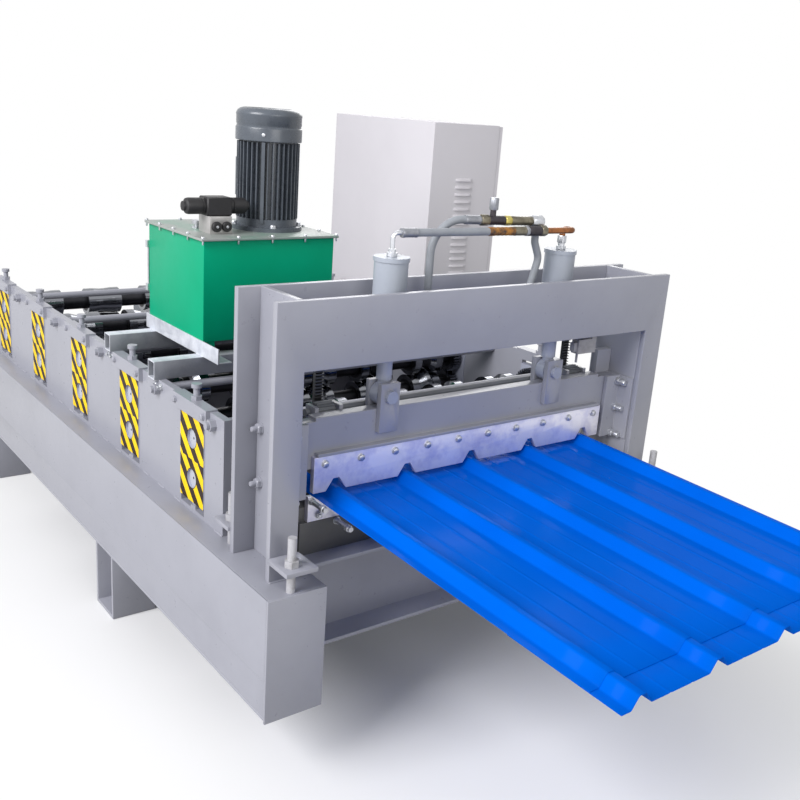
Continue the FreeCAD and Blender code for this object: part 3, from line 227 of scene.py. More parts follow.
walls_low, walls_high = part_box("side_walls")
front_low, front_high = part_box("portal_front_plate")
back_low, back_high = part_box("portal_back_plate")
middle = (front_low.x + front_high.x)/2
wall_half = (walls_high.x - walls_low.x)/2
portal_half = (front_high.x - front_low.x)/2
bed_z = front_low.z
blocks_low, blocks_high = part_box("bearing_blocks")
stations = 5
slot_half = 0.08
pitch = (blocks_high.y - blocks_low.y - 2*slot_half)/(stations - 1)
station_ys = blocks_low.y + slot_half + np.arange(stations)*pitch
stitch, stitch_step, least_gap, web_width = 0.05, 0.125, 0.02, 0.085
weld_z = bed_z + 0.001
slot_edges = np.repeat(station_ys, 2) + np.tile([-slot_half, slot_half], stations)
stretches = np.concatenate([[walls_low.y], slot_edges, [walls_high.y]]).reshape(-1, 2)
weld_runs = []
for side in (-1, 1):
    x = middle + side*(wall_half + 0.001)
    for y0, y1 in stretches:
        weld_runs += [((x, y, weld_z), (x, min(y + stitch, y1), weld_z))
                      for y in np.arange(y0, y1 - least_gap, stitch_step)]
    for y in (front_low.y, back_high.y):
        weld_runs.append(((middle + side*(portal_half - web_width), y, weld_z),
                          (middle + side*portal_half, y, weld_z)))
weld_beads("wall_and_portal_welds", weld_runs)


# Shear portal
# Two flame-cut plates tied by webs, with the cylinder seats between them; foot brackets
# held down by studs, and the carriage guides bolted through the webs.
for portal_part in ("portal_front_plate", "portal_back_plate", "portal_inner_plates", "anchor_brackets"):
    softened(portal_part, machine_enamel)


def turned(name, places, axis, rings, material, sides=24, body="machine_frame"):
    """Copies of one turned shape at each place. A ring is (radius, height, six): the circle of that
    radius, or where six is 1 the hexagon round that circle, radius/cos(angle from the flat's middle),
    at that height along the axis."""
    axis = np.array(axis, float)
    over = np.cross(axis, (0.0, 0.0, 1.0) if abs(axis[2]) < 0.9 else (1.0, 0.0, 0.0))
    over /= np.linalg.norm(over)
    across = np.cross(axis, over)
    angle = np.arange(sides)*2*pi/sides
    fold = (angle + pi/6) % (pi/3) - pi/6
    size, height, six = (np.array(column, float) for column in zip(*rings))
    radius = size[:, None]*np.where(six[:, None] > 0, 1/np.cos(fold), 1.0)
    shape = (height[:, None, None]*axis + radius[..., None]*(np.cos(angle)[:, None]*over
                                                             + np.sin(angle)[:, None]*across))
    places = np.asarray(places, float).reshape(-1, 3)
    points = places[:, None, None, :] + shape[None]
    count = len(rings)
    faces = [face for i in range(len(places)) for face in grid_faces(count, sides, i*count*sides)]
    return link_piece(name, points, faces, material, body=body)


def bolt_rings(flats, head, end=0.0):
    """Rings of a bolt head or nut: washer, hexagon with a turned chamfer, and a thread end."""
    half, sunk, washer_z = flats/2, -0.001, 0.0025
    rings = [(half*1.28, sunk, 0), (half*1.28, washer_z, 0), (half, washer_z, 1), (half, head*0.86, 1),
             (half*0.93, head, 0)]
    if end:
        rings += [(half*0.56, head, 0), (half*0.56, head + end*0.9, 0), (half*0.46, head + end, 0)]
    return rings


bare_bolt = coated("zinc_bolt", (196, 198, 204), (150, 150, 152), patches=0.6, size=60.0, roughness=0.28,
                   metallic=0.75)
stub_bolt = bolt_rings(0.024, 0.013) + [(0.0105, 0.013, 0), (0.0105, 0.034, 0), (0.0085, 0.037, 0)]
guide_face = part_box("blade_guides")[0].y + 0.0565
guide_bolt_x, guide_bolt_rises = 0.648, (0.379, 0.287, 0.192)
turned("guide_bolts", [(middle + side*guide_bolt_x, guide_face, bed_z + rise) for side in (-1, 1)
                       for rise in guide_bolt_rises], (0, -1, 0), stub_bolt, bare_bolt)
webs_low, webs_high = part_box("portal_inner_plates")
web_bolt_y, web_bolt_rises = back_low.y - 0.022, (0.371, 0.212)
for side, label, web_x in ((-1, "left", webs_low.x), (1, "right", webs_high.x)):
    turned(f"web_bolts_{label}", [(web_x, web_bolt_y, bed_z + rise) for rise in web_bolt_rises],
           (side, 0, 0), bolt_rings(0.027, 0.014, end=0.016), machine_enamel)
softened("blade_guides", machine_enamel)


def thread_material():
    """Painted studs whose thread shows as fine turns along Z."""
    material = coated("painted_thread", (176, 176, 180), (138, 136, 134), patches=0.7, size=30.0)
    tree = material.node_tree
    bump = tree.nodes["Bump"]
    place = add(tree, "TexCoord").outputs["Object"]
    turns = add(tree, "TexWave", {"Vector": place, "Scale": 85.0}, bands_direction="Z", wave_profile="SIN")
    tree.links.new(turns.outputs["Fac"], bump.inputs["Height"])
    bump.inputs["Distance"].default_value = 0.0006
    return material


dress(thread_material(), "anchor_studs")


# Bearing blocks
# Cast blocks that slide in the wall slots, a lower and an upper one at each. Their outer faces
# carry self-adhesive warning film in diagonal stripes; the film of the lower block is laid apart.
def shaft_radius(tree, place):
    """Distance from the nearer shaft axis: Y folded into one bay by the pitch, Z about the two axes."""
    between_axes, half_apart = blocks_low.z + 0.139, 0.064
    from_first = maths(tree, "SUBTRACT", place.outputs["Y"], station_ys[0] - pitch/2)
    in_bay = maths(tree, "MODULO", from_first, pitch)
    off_y = maths(tree, "SUBTRACT", in_bay, pitch/2)
    from_middle = maths(tree, "SUBTRACT", place.outputs["Z"], between_axes)
    off_z = maths(tree, "SUBTRACT", maths(tree, "ABSOLUTE", from_middle), half_apart)
    flat = add(tree, "CombineXYZ", {"X": off_y, "Y": off_z})
    return add(tree, "VectorMath", {0: flat.outputs[0]}, operation="LENGTH").outputs["Value"]


def from_centre(tree, place):
    """How far a place is from the machine's middle, across X."""
    return maths(tree, "ABSOLUTE", maths(tree, "SUBTRACT", place.outputs["X"], middle))


def warning_film():
    """Stripes at 45 degrees: dark where the fraction of (Z - Y + shift)/pitch is past one half. They
    lie on outward faces across X only, with a dark ring of painted shade round each bore, standing
    for the shadow in the gap round the shaft end."""
    material = coated("warning_film", (244, 206, 6), (230, 186, 2), patches=0.5, size=25.0, roughness=0.4,
                      specular=0.2)
    tree = material.node_tree
    shader, skin = tree.nodes["Principled BSDF"], tree.nodes["Group"]
    place = add(tree, "SeparateXYZ", {"Vector": add(tree, "TexCoord").outputs["Object"]})
    facing = add(tree, "SeparateXYZ", {"Vector": add(tree, "NewGeometry").outputs["Normal"]})
    split, stripe_pitch, upper_shift, lower_shift = blocks_low.z + 0.137, 0.08, 0.0323, 0.012
    bore_shade_radius, stripe_and_shade_black, block_grey = 0.0325, enamel(42, 28, 24), enamel(160, 163, 178)
    upper = maths(tree, "GREATER_THAN", place.outputs["Z"], split)
    along = maths(tree, "SUBTRACT", place.outputs["Z"], place.outputs["Y"])
    laid = maths(tree, "MULTIPLY_ADD", upper, upper_shift - lower_shift, lower_shift)
    share = maths(tree, "FRACT", maths(tree, "MULTIPLY", maths(tree, "ADD", laid, along), 1/stripe_pitch))
    stripe = maths(tree, "GREATER_THAN", share, 0.5)
    # Painted shade: a dark ring round each bore stands in for the shadow in the gap round the shaft end.
    bore_shade = maths(tree, "LESS_THAN", shaft_radius(tree, place), bore_shade_radius)
    striped_and_shaded = blended(tree, maths(tree, "MAXIMUM", stripe, bore_shade), skin.outputs["Color"], stripe_and_shade_black)
    side_on = maths(tree, "ABSOLUTE", facing.outputs["X"])
    outer = maths(tree, "GREATER_THAN", from_centre(tree, place), wall_half)
    shown = blended(tree, maths(tree, "MULTIPLY", side_on, outer), block_grey, striped_and_shaded)
    tree.links.new(shown, shader.inputs["Base Color"])
    return material


dress(warning_film(), "bearing_blocks")


# Keeper bars and jack screws
# Flat bars bolted over the wall slots; screws through them set the height of the upper blocks.
# The cross rails of the tank's frame are bolted to the top of the walls beside them.
dress(machine_enamel, "keeper_bars", "jack_screws")
keepers_low, keepers_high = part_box("keeper_bars")
keeper_z, keeper_bolt_y = keepers_high.z - 0.0225, 0.096
keeper_ys = [y + way*keeper_bolt_y for y in station_ys for way in (-1, 1)]
for side, label, x in ((-1, "left", keepers_low.x), (1, "right", keepers_high.x)):
    turned(f"keeper_bolts_{label}", [(x, y, keeper_z) for y in keeper_ys], (side, 0, 0),
           bolt_rings(0.017, 0.008), machine_enamel)
zinc = coated("zinc_plate", (205, 207, 212), (160, 162, 166), patches=0.6, size=35.0, roughness=0.26,
              spread=0.22, metallic=0.85)
rail_bolt_ys, rail_bolt_z = (-0.259, -0.224, 0.142, 0.177), walls_high.z - 0.018
for side, label in ((-1, "left"), (1, "right")):
    turned(f"tank_frame_bolts_{label}", [(middle + side*wall_half, y, rail_bolt_z) for y in rail_bolt_ys],
           (side, 0, 0), bolt_rings(0.019, 0.009, end=0.008), zinc)


# Rolls and shafts
# Turned from round bar and hard-chromed; fine turning marks run round the axis, and the
# shafts between the rolls are plain oiled steel.
def roll_steel():
    """Chromed where the distance from the nearer shaft axis is past roll_least, dark oiled shaft below
    it; the journals' ends past the walls are ground, with a dark dot of painted shade for the centre
    hole. Turning marks run round X."""
    roll_least, wall_inner, journal_radius, hole_shade_radius = 0.045, 0.7, 0.032, 0.0035
    chrome, ground, hole_shade = enamel(134, 136, 142), enamel(196, 198, 206), enamel(70, 66, 66)
    material = coated("roll_steel", (58, 58, 62), (40, 40, 43), patches=0.5, size=14.0, roughness=0.3,
                      spread=0.2, metallic=1.0)
    tree = material.node_tree
    shader, skin, bump = tree.nodes["Principled BSDF"], tree.nodes["Group"], tree.nodes["Bump"]
    coordinate = add(tree, "TexCoord").outputs["Object"]
    place = add(tree, "SeparateXYZ", {"Vector": coordinate})
    radius = shaft_radius(tree, place)
    wide = add(tree, "MapRange", {"Value": radius, "From Min": roll_least, "From Max": roll_least + 0.002})
    outside = add(tree, "MapRange", {"Value": from_centre(tree, place), "From Min": wall_inner,
                                     "From Max": wall_inner + 0.002}).outputs["Result"]
    chromed = add(tree, "Math", {0: wide.outputs["Result"], 1: outside}, operation="SUBTRACT",
                  use_clamp=True).outputs[0]
    ended = maths(tree, "MULTIPLY", outside, maths(tree, "LESS_THAN", radius, journal_radius))
    # Painted shade: a dark dot in the middle of each shaft end stands in for the shade inside the centre
    # hole.
    hole_shade_edge = add(tree, "MapRange", {"Value": radius, "From Min": hole_shade_radius,
                                     "From Max": hole_shade_radius + 0.001}).outputs["Result"]
    turned_colour = blended(tree, chromed, skin.outputs["Color"], chrome)
    colour = blended(tree, ended, turned_colour, blended(tree, hole_shade_edge, hole_shade, ground))
    sheen = add(tree, "MapRange", {"Value": chromed, "To Min": 0.42, "To Max": 0.16}).outputs["Result"]
    turns = add(tree, "TexWave", {"Vector": coordinate, "Scale": 900.0, "Distortion": 1.5, "Detail": 2.0},
                bands_direction="X")
    tree.links.new(colour, shader.inputs["Base Color"])
    tree.links.new(maths(tree, "MULTIPLY_ADD", ended, 0.3, sheen), shader.inputs["Roughness"])
    tree.links.new(turns.outputs["Fac"], bump.inputs["Height"])
    bump.inputs["Distance"].default_value = 0.00003
    return material


rolls = roll_steel()
for number in range(1, stations + 1):
    dress(rolls, f"lower_roll_{number}", f"upper_roll_{number}")
oiled_steel = coated("oiled_steel", (74, 75, 78), (50, 50, 53), patches=0.5, size=18.0, roughness=0.34,
                     spread=0.2, metallic=0.9)
dress(oiled_steel, "drive_sprocket", "rack_bars")
shaft_enamel = coated("shaft_enamel", (112, 115, 120), (90, 92, 97), patches=0.5, size=12.0,
                      roughness=0.35)
dress(shaft_enamel, "balance_shaft")


# Formed sheet
# Steel coil, pre-painted in glossy blue on both sides and cold-rolled to five ribs. The bends
# have small radii, and two shallow swages stiffen each pan.
def glossy_blue():
    """Coil paint: smooth gloss over a blue that varies very little."""
    material = coated("coil_blue", (0, 93, 204), (0, 83, 190), patches=0.5, size=2.2, roughness=0.13,
                      spread=0.08, bump=0.00002, specular=0.3)
    material.node_tree.nodes["Principled BSDF"].inputs["IOR"].default_value = 1.07
    return material


coil_blue = glossy_blue()
sheet_low, sheet_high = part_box("formed_sheet")
lap_low, lap_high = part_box("lapped_sheet")
blade_low, blade_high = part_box("upper_blade")
rib_height, rib_top, rib_run, pan, ribs = 0.028, 0.020, 0.020, 0.190, 5
left_lip, right_lip, thick = 0.030, 0.012, 0.001
pan_z = sheet_high.z - rib_height - thick/2


def rib_line(samples):
    """Across one sheet: corner points of lips, flanks and rib tops, rounded by a moving average over
    the developed width, as (x, z) at even steps; each swage adds rise*(1 - distance/half)."""
    flank = np.hypot(rib_run, rib_height)
    centres = (np.arange(ribs) - (ribs - 1)/2)*(pan + rib_top + 2*rib_run)
    foot, top = rib_top/2 + rib_run, rib_top/2
    x = (centres[:, None] + np.array([-foot, -top, top, foot])).ravel()
    z = np.tile([0, rib_height, rib_height, 0], ribs).astype(float)
    x = np.concatenate([[x[0] - left_lip], x[:-1], [x[-2] + rib_run/flank*right_lip]])
    z = np.concatenate([[0.0], z[:-1], [rib_height*(1 - right_lip/flank)]])
    along = np.concatenate([[0], np.cumsum(np.hypot(np.diff(x), np.diff(z)))])
    bend_reach, swage_x, swage_half, swage_rise = 0.0035, 0.035, 0.005, 0.0014
    at = np.linspace(0, along[-1], samples)[:, None] + np.linspace(-bend_reach, bend_reach, 9)
    at = np.clip(at, 0, along[-1])
    smooth_x, smooth_z = np.interp(at, along, x).mean(1), np.interp(at, along, z).mean(1)
    pan_mid = (centres[:-1] + centres[1:])/2
    for way in (-1, 1):
        from_swage = np.abs(smooth_x[:, None] - pan_mid - way*swage_x).min(1)
        smooth_z = smooth_z + swage_rise*np.clip(1 - from_swage/swage_half, 0, 1)
    return smooth_x + middle, smooth_z


def formed_piece(name, sections, node, samples=560):
    """Sheet skinned through sections, each given as (y, pan z). Solidify gives its wall."""
    x, rise = rib_line(samples)
    rows = [np.stack([x, np.full(samples, y), z + rise], axis=1) for y, z in sections]
    mesh = bpy.data.meshes.new(name)
    mesh.from_pydata(np.concatenate(rows).tolist(), [], grid_faces(len(rows), samples, closed=False))
    mesh.shade_smooth()
    mesh.materials.append(coil_blue)
    piece = bpy.data.objects.new(name, mesh)
    scene.collection.objects.link(piece)
    wall = piece.modifiers.new("wall", "SOLIDIFY")
    wall.thickness = thick*0.9
    wall.offset = 0
    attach(piece, "machine_frame")
    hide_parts(node)
    return piece


def free_z(y):
    """Pan height past the blade: pan_z less the drop at the sheet's end times the share of the way."""
    drop_at_end = pan_z - sheet_low.z - thick/2
    return pan_z - drop_at_end*(blade_low.y - y)/(blade_low.y - sheet_low.y)


free_ys = np.linspace(blade_low.y, sheet_low.y, 9)
formed_piece("formed_sheet_skin", [(sheet_high.y, pan_z)] + [(y, free_z(y)) for y in free_ys],
             "formed_sheet")
lap_drop, lap_end = 0.0019, lap_low.y + 0.0002
lap_ys = np.linspace(lap_high.y, lap_end, 6)
formed_piece("lapped_sheet_skin", [(y, free_z(y) - lap_drop) for y in lap_ys], "lapped_sheet")


# Blade carriage
# The notched upper blade is ground tool steel with a bright, smudged face; six-sided bolts hold
# it to the painted beam. Clevises, pins and rods hang the beam on the two cylinders.
blade_steel = coated("ground_steel", (236, 234, 242), (172, 173, 214), patches=0.8, size=11.0,
                     roughness=0.24, spread=0.34, bump=0.00008, metallic=0.45)
softened("upper_blade", blade_steel, edge=0.001, body="blade_carriage")
softened("lower_blade", blade_steel, edge=0.0008)
for carriage_part in ("blade_beam", "clevis_plates"):
    softened(carriage_part, machine_enamel, body="blade_carriage")
shadow_steel = coated("shadow_steel", (92, 92, 92), (74, 74, 76), patches=0.5, size=9.0, roughness=0.5)
softened("lower_blade_holder", shadow_steel)
blade_bolt_xs, blade_bolt_z = middle + np.arange(10)*0.12 - 0.54, blade_high.z - 0.022
turned("blade_bolts", [(x, blade_low.y, blade_bolt_z) for x in blade_bolt_xs], (0, -1, 0),
       bolt_rings(0.018, 0.008), bare_bolt, body="blade_carriage")
rod_enamel = coated("rod_enamel", (158, 163, 178), (140, 144, 158), patches=0.5, size=18.0, roughness=0.28)
dress(rod_enamel, "piston_rods", "clevis_pins")
dress(machine_enamel, "shaft_brackets")
dress(coated("switch_casing", (150, 148, 148), (110, 108, 110), patches=0.6, size=30.0, roughness=0.4),
      "limit_switch")
lower_face, lower_bolt_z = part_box("lower_blade")[0].y, bed_z + 0.118
turned("lower_blade_bolts", [(x, lower_face, lower_bolt_z) for x in blade_bolt_xs], (0, -1, 0),
       bolt_rings(0.018, 0.009, end=0.006), bare_bolt)
set_stud = bolt_rings(0.018, 0.012) + [(0.0075, 0.012, 0), (0.0075, 0.054, 0), (0.0095, 0.054, 1),
                                       (0.0095, 0.066, 1), (0.0075, 0.067, 0), (0.0075, 0.076, 0)]
stud_places = [(middle + side*off_x, lower_face, bed_z + rise)
               for off_x, rise in ((0.565, 0.163), (0.477, 0.087)) for side in (-1, 1)]
turned("set_studs", stud_places, (0, -1, 0), set_stud, bare_bolt)


# Cylinders
# Seamless tubes with welded end caps, standing in the portal between its plates; sprayed in the
# machine's enamel, a little glossier than the plates.
cylinder_enamel = coated("cylinder_enamel", (164, 170, 180), (150, 155, 165), patches=0.4, size=8.0,
                         roughness=0.3)
dress(cylinder_enamel, "hydraulic_cylinders")


# Oil tank
# Folded sheet steel in green enamel, with a lighter lid screwed down on a thin gasket; the lid
# was sprayed over, so traces of green show through at its edges.
green_enamel = coated("green_enamel", (0, 160, 118), (0, 146, 104), patches=0.5, size=2.5, roughness=0.3,
                      spread=0.12, specular=0.1)
softened("oil_tank", green_enamel, edge=0.003)
lid_enamel = coated("lid_enamel", (150, 154, 150), (92, 150, 126), patches=0.55, size=6.0, roughness=0.32)
softened("tank_lid", lid_enamel, edge=0.0012)
lid_low, lid_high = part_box("tank_lid")
screw_inset = 0.006
lid_xs = np.linspace(lid_low.x + screw_inset, lid_high.x - screw_inset, 5)
lid_ys = np.linspace(lid_low.y + screw_inset, lid_high.y - screw_inset, 5)
lid_screws = [(x, y, lid_high.z) for x in lid_xs for y in (lid_ys[0], lid_ys[-1])]
lid_screws += [(x, y, lid_high.z) for x in (lid_xs[0], lid_xs[-1]) for y in lid_ys[1:-1]]
turned("lid_screws", lid_screws, (0, 0, 1), bolt_rings(0.010, 0.006), zinc)
turned("lid_screw_ends", [(x, y, lid_low.z) for x, y, z in lid_screws], (0, 0, -1),
       [(0.0030, -0.001, 0), (0.0030, 0.011, 0), (0.0022, 0.012, 0)], zinc, 12)


def hot_dip_zinc():
    """Spangled zinc; faces across Y are painted a darker grey, as painted shade on those sides."""
    side_shade_share, side_shade_grey = 0.68, enamel(92, 94, 100)
    material = coated("hot_dip_zinc", (214, 217, 224), (180, 184, 194), patches=0.8, size=26.0,
                      roughness=0.4, spread=0.25, metallic=0.25)
    tree = material.node_tree
    shader, skin = tree.nodes["Principled BSDF"], tree.nodes["Group"]
    facing = add(tree, "SeparateXYZ", {"Vector": add(tree, "NewGeometry").outputs["Normal"]})
    # Painted shade: faces across Y are mixed toward a darker grey by how far they face along Y.
    share = maths(tree, "MULTIPLY", maths(tree, "ABSOLUTE", facing.outputs["Y"]), side_shade_share)
    side_shaded = blended(tree, share, skin.outputs["Color"], side_shade_grey)
    tree.links.new(side_shaded, shader.inputs["Base Color"])
    return material


galvanised = hot_dip_zinc()
softened("tank_frame", galvanised, edge=0.0012)


# Pump motor
# Finned aluminium housing in dark grey paint, standing on the lid by a bolted flange. The pressed
# steel cowl over the fan has two drawn bands, a rolled crown and an air grille.
def swept(name, path, radius, material, sides=18):
    """A round bar along a path: each ring is radius*(cos, sin) on two normals, the first normal being
    the last one with its part along the new tangent taken off."""
    path = np.asarray(path, float)
    tangents = np.gradient(path, axis=0)
    tangents /= np.linalg.norm(tangents, axis=1)[:, None]
    normal = np.cross(tangents[0], (0.31, 0.53, 0.79))
    angle = np.arange(sides)*2*pi/sides
    rings = []
    for place, tangent in zip(path, tangents):
        normal = normal - tangent*(normal @ tangent)
        normal /= np.linalg.norm(normal)
        over = np.cross(tangent, normal)
        rings.append(place + radius*(np.cos(angle)[:, None]*normal + np.sin(angle)[:, None]*over))
    return link_piece(name, np.array(rings), grid_faces(len(path), sides), material)


def slabs(name, boxes, material):
    """Boxes given as (centre, half sizes, turn about Z): corners = centre + turn*(signs*half sizes)."""
    signs = np.array([(x, y, z) for z in (-1, 1) for x, y in ((-1, -1), (1, -1), (1, 1), (-1, 1))], float)
    points, faces = [], []
    for centre, half, turn in boxes:
        spin = np.array([[np.cos(turn), np.sin(turn), 0], [-np.sin(turn), np.cos(turn), 0], [0, 0, 1]])
        faces += grid_faces(2, 4, len(points))
        points += (np.array(centre) + (signs*np.array(half)) @ spin).tolist()
    return link_piece(name, points, faces, material)


motor_paint = coated("motor_paint", (86, 92, 100), (66, 71, 78), patches=0.5, size=14.0, roughness=0.2)
dress(motor_paint, "pump_motor")
cowl_low, cowl_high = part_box("motor_fan_cowl")
cowl_x, cowl_y = (cowl_low.x + cowl_high.x)/2, (cowl_low.y + cowl_high.y)/2
cowl_rings = [(0.1100, 0.000), (0.1119, 0.002), (0.1119, 0.040), (0.1112, 0.043), (0.1085, 0.046),
              (0.1085, 0.052), (0.1100, 0.054), (0.1100, 0.080), (0.1112, 0.083), (0.1108, 0.087),
              (0.1060, 0.096), (0.0980, 0.102), (0.0880, 0.1055), (0.0840, 0.1058), (0.0825, 0.100)]
cowl = turned("fan_cowl", [(cowl_x, cowl_y, cowl_low.z)], (0, 0, 1), [(r, z, 0) for r, z in cowl_rings],
              motor_paint, 64)
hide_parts("motor_fan_cowl")
black_plastic = coated("black_plastic", (26, 25, 27), (38, 37, 40), patches=0.5, size=40.0, roughness=0.45,
                       bump=0.0002)
grille_bars, grille_size, grille_z = 12, (0.083, 0.0015, 0.0015), cowl_low.z + 0.1015
slabs("cowl_grille", [((cowl_x, cowl_y, grille_z), grille_size, pi*i/grille_bars)
                      for i in range(grille_bars)], motor_paint)


def round_motor(turn, radius, z):
    """A point at a turn and radius about the motor's axis."""
    return cowl_x + radius*np.cos(turn), cowl_y + radius*np.sin(turn), z


screw_turn = radians(-128)
turned("cowl_screw", [round_motor(screw_turn, 0.111, cowl_low.z + 0.022)],
       (np.cos(screw_turn), np.sin(screw_turn), 0), bolt_rings(0.009, 0.004), zinc)
slabs("housing_strip", [(round_motor(screw_turn, 0.104, cowl_low.z - 0.134), (0.0055, 0.006, 0.132),
                         screw_turn + pi/2)], motor_paint)
flange_turns = screw_turn + np.arange(4)*pi/2 + 0.35
turned("flange_bolts", [round_motor(turn, 0.112, lid_high.z + 0.014) for turn in flange_turns], (0, 0, 1),
       bolt_rings(0.017, 0.010), zinc)


# Directional valve
# Spool valve in a black casing with a moulded black coil on each end, on a drilled manifold with
# two black-sleeved ports; a small filler cap stands beside it.
valve_low, valve_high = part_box("directional_valve")
valve_mid = (valve_low + valve_high)/2
coil_r = 0.0265
coil_profile = [(0.96, 0.040), (1, 0.044), (1, 0.052), (0.92, 0.053), (0.92, 0.056), (1, 0.057),
                (1, 0.096), (0.93, 0.104), (0.72, 0.108), (0.6, 0.109), (0.58, 0.116), (0.4, 0.118)]
coil_rings = [(coil_r*share, z, 0) for share, z in coil_profile]
for side, label in ((-1, "left"), (1, "right")):
    turned(f"coil_{label}", [tuple(valve_mid)], (side, 0, 0), coil_rings, black_plastic, 32)
casing = slabs("valve_casing", [(tuple(valve_mid), (0.044, 0.034, 0.0298), 0.0)], black_plastic)
casing.modifiers.new("edges", "BEVEL").width = 0.004
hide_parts("directional_valve")
manifold_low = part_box("valve_manifold")[0]
manifold_steel = coated("manifold_steel", (176, 174, 172), (150, 148, 146), patches=0.5, size=20.0,
                        roughness=0.32, metallic=0.2)
softened("valve_manifold", manifold_steel, edge=0.0012)
ports = [(valve_mid.x + dx, manifold_low.y, manifold_low.z + 0.024) for dx in (-0.018, 0.018)]
turned("port_sleeves", ports, (0, -1, 0),
       [(0.0160, -0.001, 0), (0.0168, 0.003, 0), (0.0168, 0.009, 0), (0.0150, 0.012, 0),
        (0.0080, 0.0125, 0), (0.0076, 0.009, 0)], black_plastic, 28)
turned("port_pins", ports, (0, -1, 0), [(0.0048, 0.006, 0), (0.0048, 0.0125, 0), (0.0036, 0.0135, 0)],
       zinc, 16)
filler = (lid_low.x + 0.094, lid_low.y + 0.236, lid_high.z)
turned("filler_cap", [filler], (0, 0, 1),
       [(0.015, -0.001, 1), (0.015, 0.006, 1), (0.009, 0.007, 0), (0.009, 0.014, 0),
        (0.017, 0.015, 0), (0.017, 0.026, 0), (0.014, 0.028, 0)], zinc)
tank_low, tank_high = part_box("oil_tank")
gauge_x, gauge_y, gauge_z, foot_apart = tank_low.x + 0.006, tank_high.y, lid_low.z - 0.150, 0.076
slabs("level_gauge", [((gauge_x, gauge_y + 0.008, gauge_z - foot_apart), (0.013, 0.009, 0.012), 0.0),
                      ((gauge_x, gauge_y + 0.008, gauge_z + foot_apart), (0.013, 0.009, 0.012), 0.0),
                      ((gauge_x, gauge_y + 0.009, gauge_z), (0.007, 0.005, 0.068), 0.0)], zinc)


# Hoses and fittings
# Rubber pressure hoses with crimped ferrules. Between them sit zinc and brass unions and dark tees;
# a bent copper pipe runs to the right cap. An orange sleeve protects the upper hose.
def rounded_path(corners, bends, steps=8):
    """Corner points replaced by arcs: centre on the bisector at bend/sin(half angle), ends at
    bend/tan(half angle) along both legs, the arc by spherical interpolation between the end radii."""
    corners = np.asarray(corners, float)
    path = [corners[0]]
    for before, corner, after, bend in zip(corners, corners[1:], corners[2:], bends):
        back, on = before - corner, after - corner
        back, on = back/np.linalg.norm(back), on/np.linalg.norm(on)
        half = np.arccos(np.clip(back @ on, -1, 1))/2
        centre = corner + (back + on)/np.linalg.norm(back + on)*bend/np.sin(half)
        first, last = corner + back*bend/np.tan(half) - centre, corner + on*bend/np.tan(half) - centre
        share, turn = np.linspace(0, 1, steps)[:, None], pi - 2*half
        path += list(centre + (np.sin((1 - share)*turn)*first + np.sin(share*turn)*last)/np.sin(turn))
    return np.array(path + [corners[-1]])


def on_line(line, x):
    """The point of a line at one X from the machine's middle."""
    start, end = (np.array(point, float) for point in line)
    return start + (end - start)*(middle + x - start[0])/(end[0] - start[0])


def hex_piece(flats, length):
    """Hexagon between two turned chamfers."""
    end, half = flats*0.46, flats/2
    return [(end, 0, 0), (half, length*0.08, 1), (half, length*0.92, 1), (end, length, 0)]


def crimped(radius, length, grooves=4):
    """Ferrule: plain ends and shallow crimped grooves between them."""
    at = np.linspace(length*0.22, length*0.86, grooves*2 + 1)
    rings = [(radius*0.94, 0, 0), (radius, length*0.03, 0)]
    rings += [(radius*(0.93 if i % 2 else 1.0), z, 0) for i, z in enumerate(at)]
    return rings + [(radius, length*0.97, 0), (radius*0.94, length, 0)]


ram_low, ram_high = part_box("hydraulic_cylinders")
flange_radius = 0.064
ram_x, ram_y = (ram_high.x - ram_low.x)/2 - flange_radius, (ram_low.y + ram_high.y)/2
cap_z = ram_high.z
pipe_z = cap_z + 0.064
upper_line = ((middle - ram_x, ram_y, pipe_z), (middle + ram_x + 0.017, ram_y - 0.038, pipe_z))
lower_line = ((middle - ram_x, ram_y + 0.042, cap_z + 0.100),
              (middle + 0.258, ram_y - 0.010, cap_z + 0.088))
brass = coated("yellow_brass", (196, 182, 104), (160, 144, 78), patches=0.5, size=60.0, roughness=0.3,
               metallic=0.8)
olive = coated("olive_chromate", (126, 120, 104), (84, 78, 66), patches=0.7, size=50.0, roughness=0.34,
               metallic=0.7)
dark_tee = coated("dark_tee", (62, 58, 62), (44, 40, 46), patches=0.5, size=45.0, roughness=0.4,
                  metallic=0.5)
copper = coated("copper_pipe", (158, 102, 62), (84, 58, 44), patches=0.9, size=30.0, roughness=0.24,
                metallic=0.85)
steel_grey = coated("grey_ferrule", (150, 152, 158), (118, 120, 126), patches=0.6, size=50.0, roughness=0.3,
                    metallic=0.5)
orange = coated("orange_sleeve", (176, 118, 40), (48, 34, 30), patches=1.0, size=46.0, roughness=0.4)
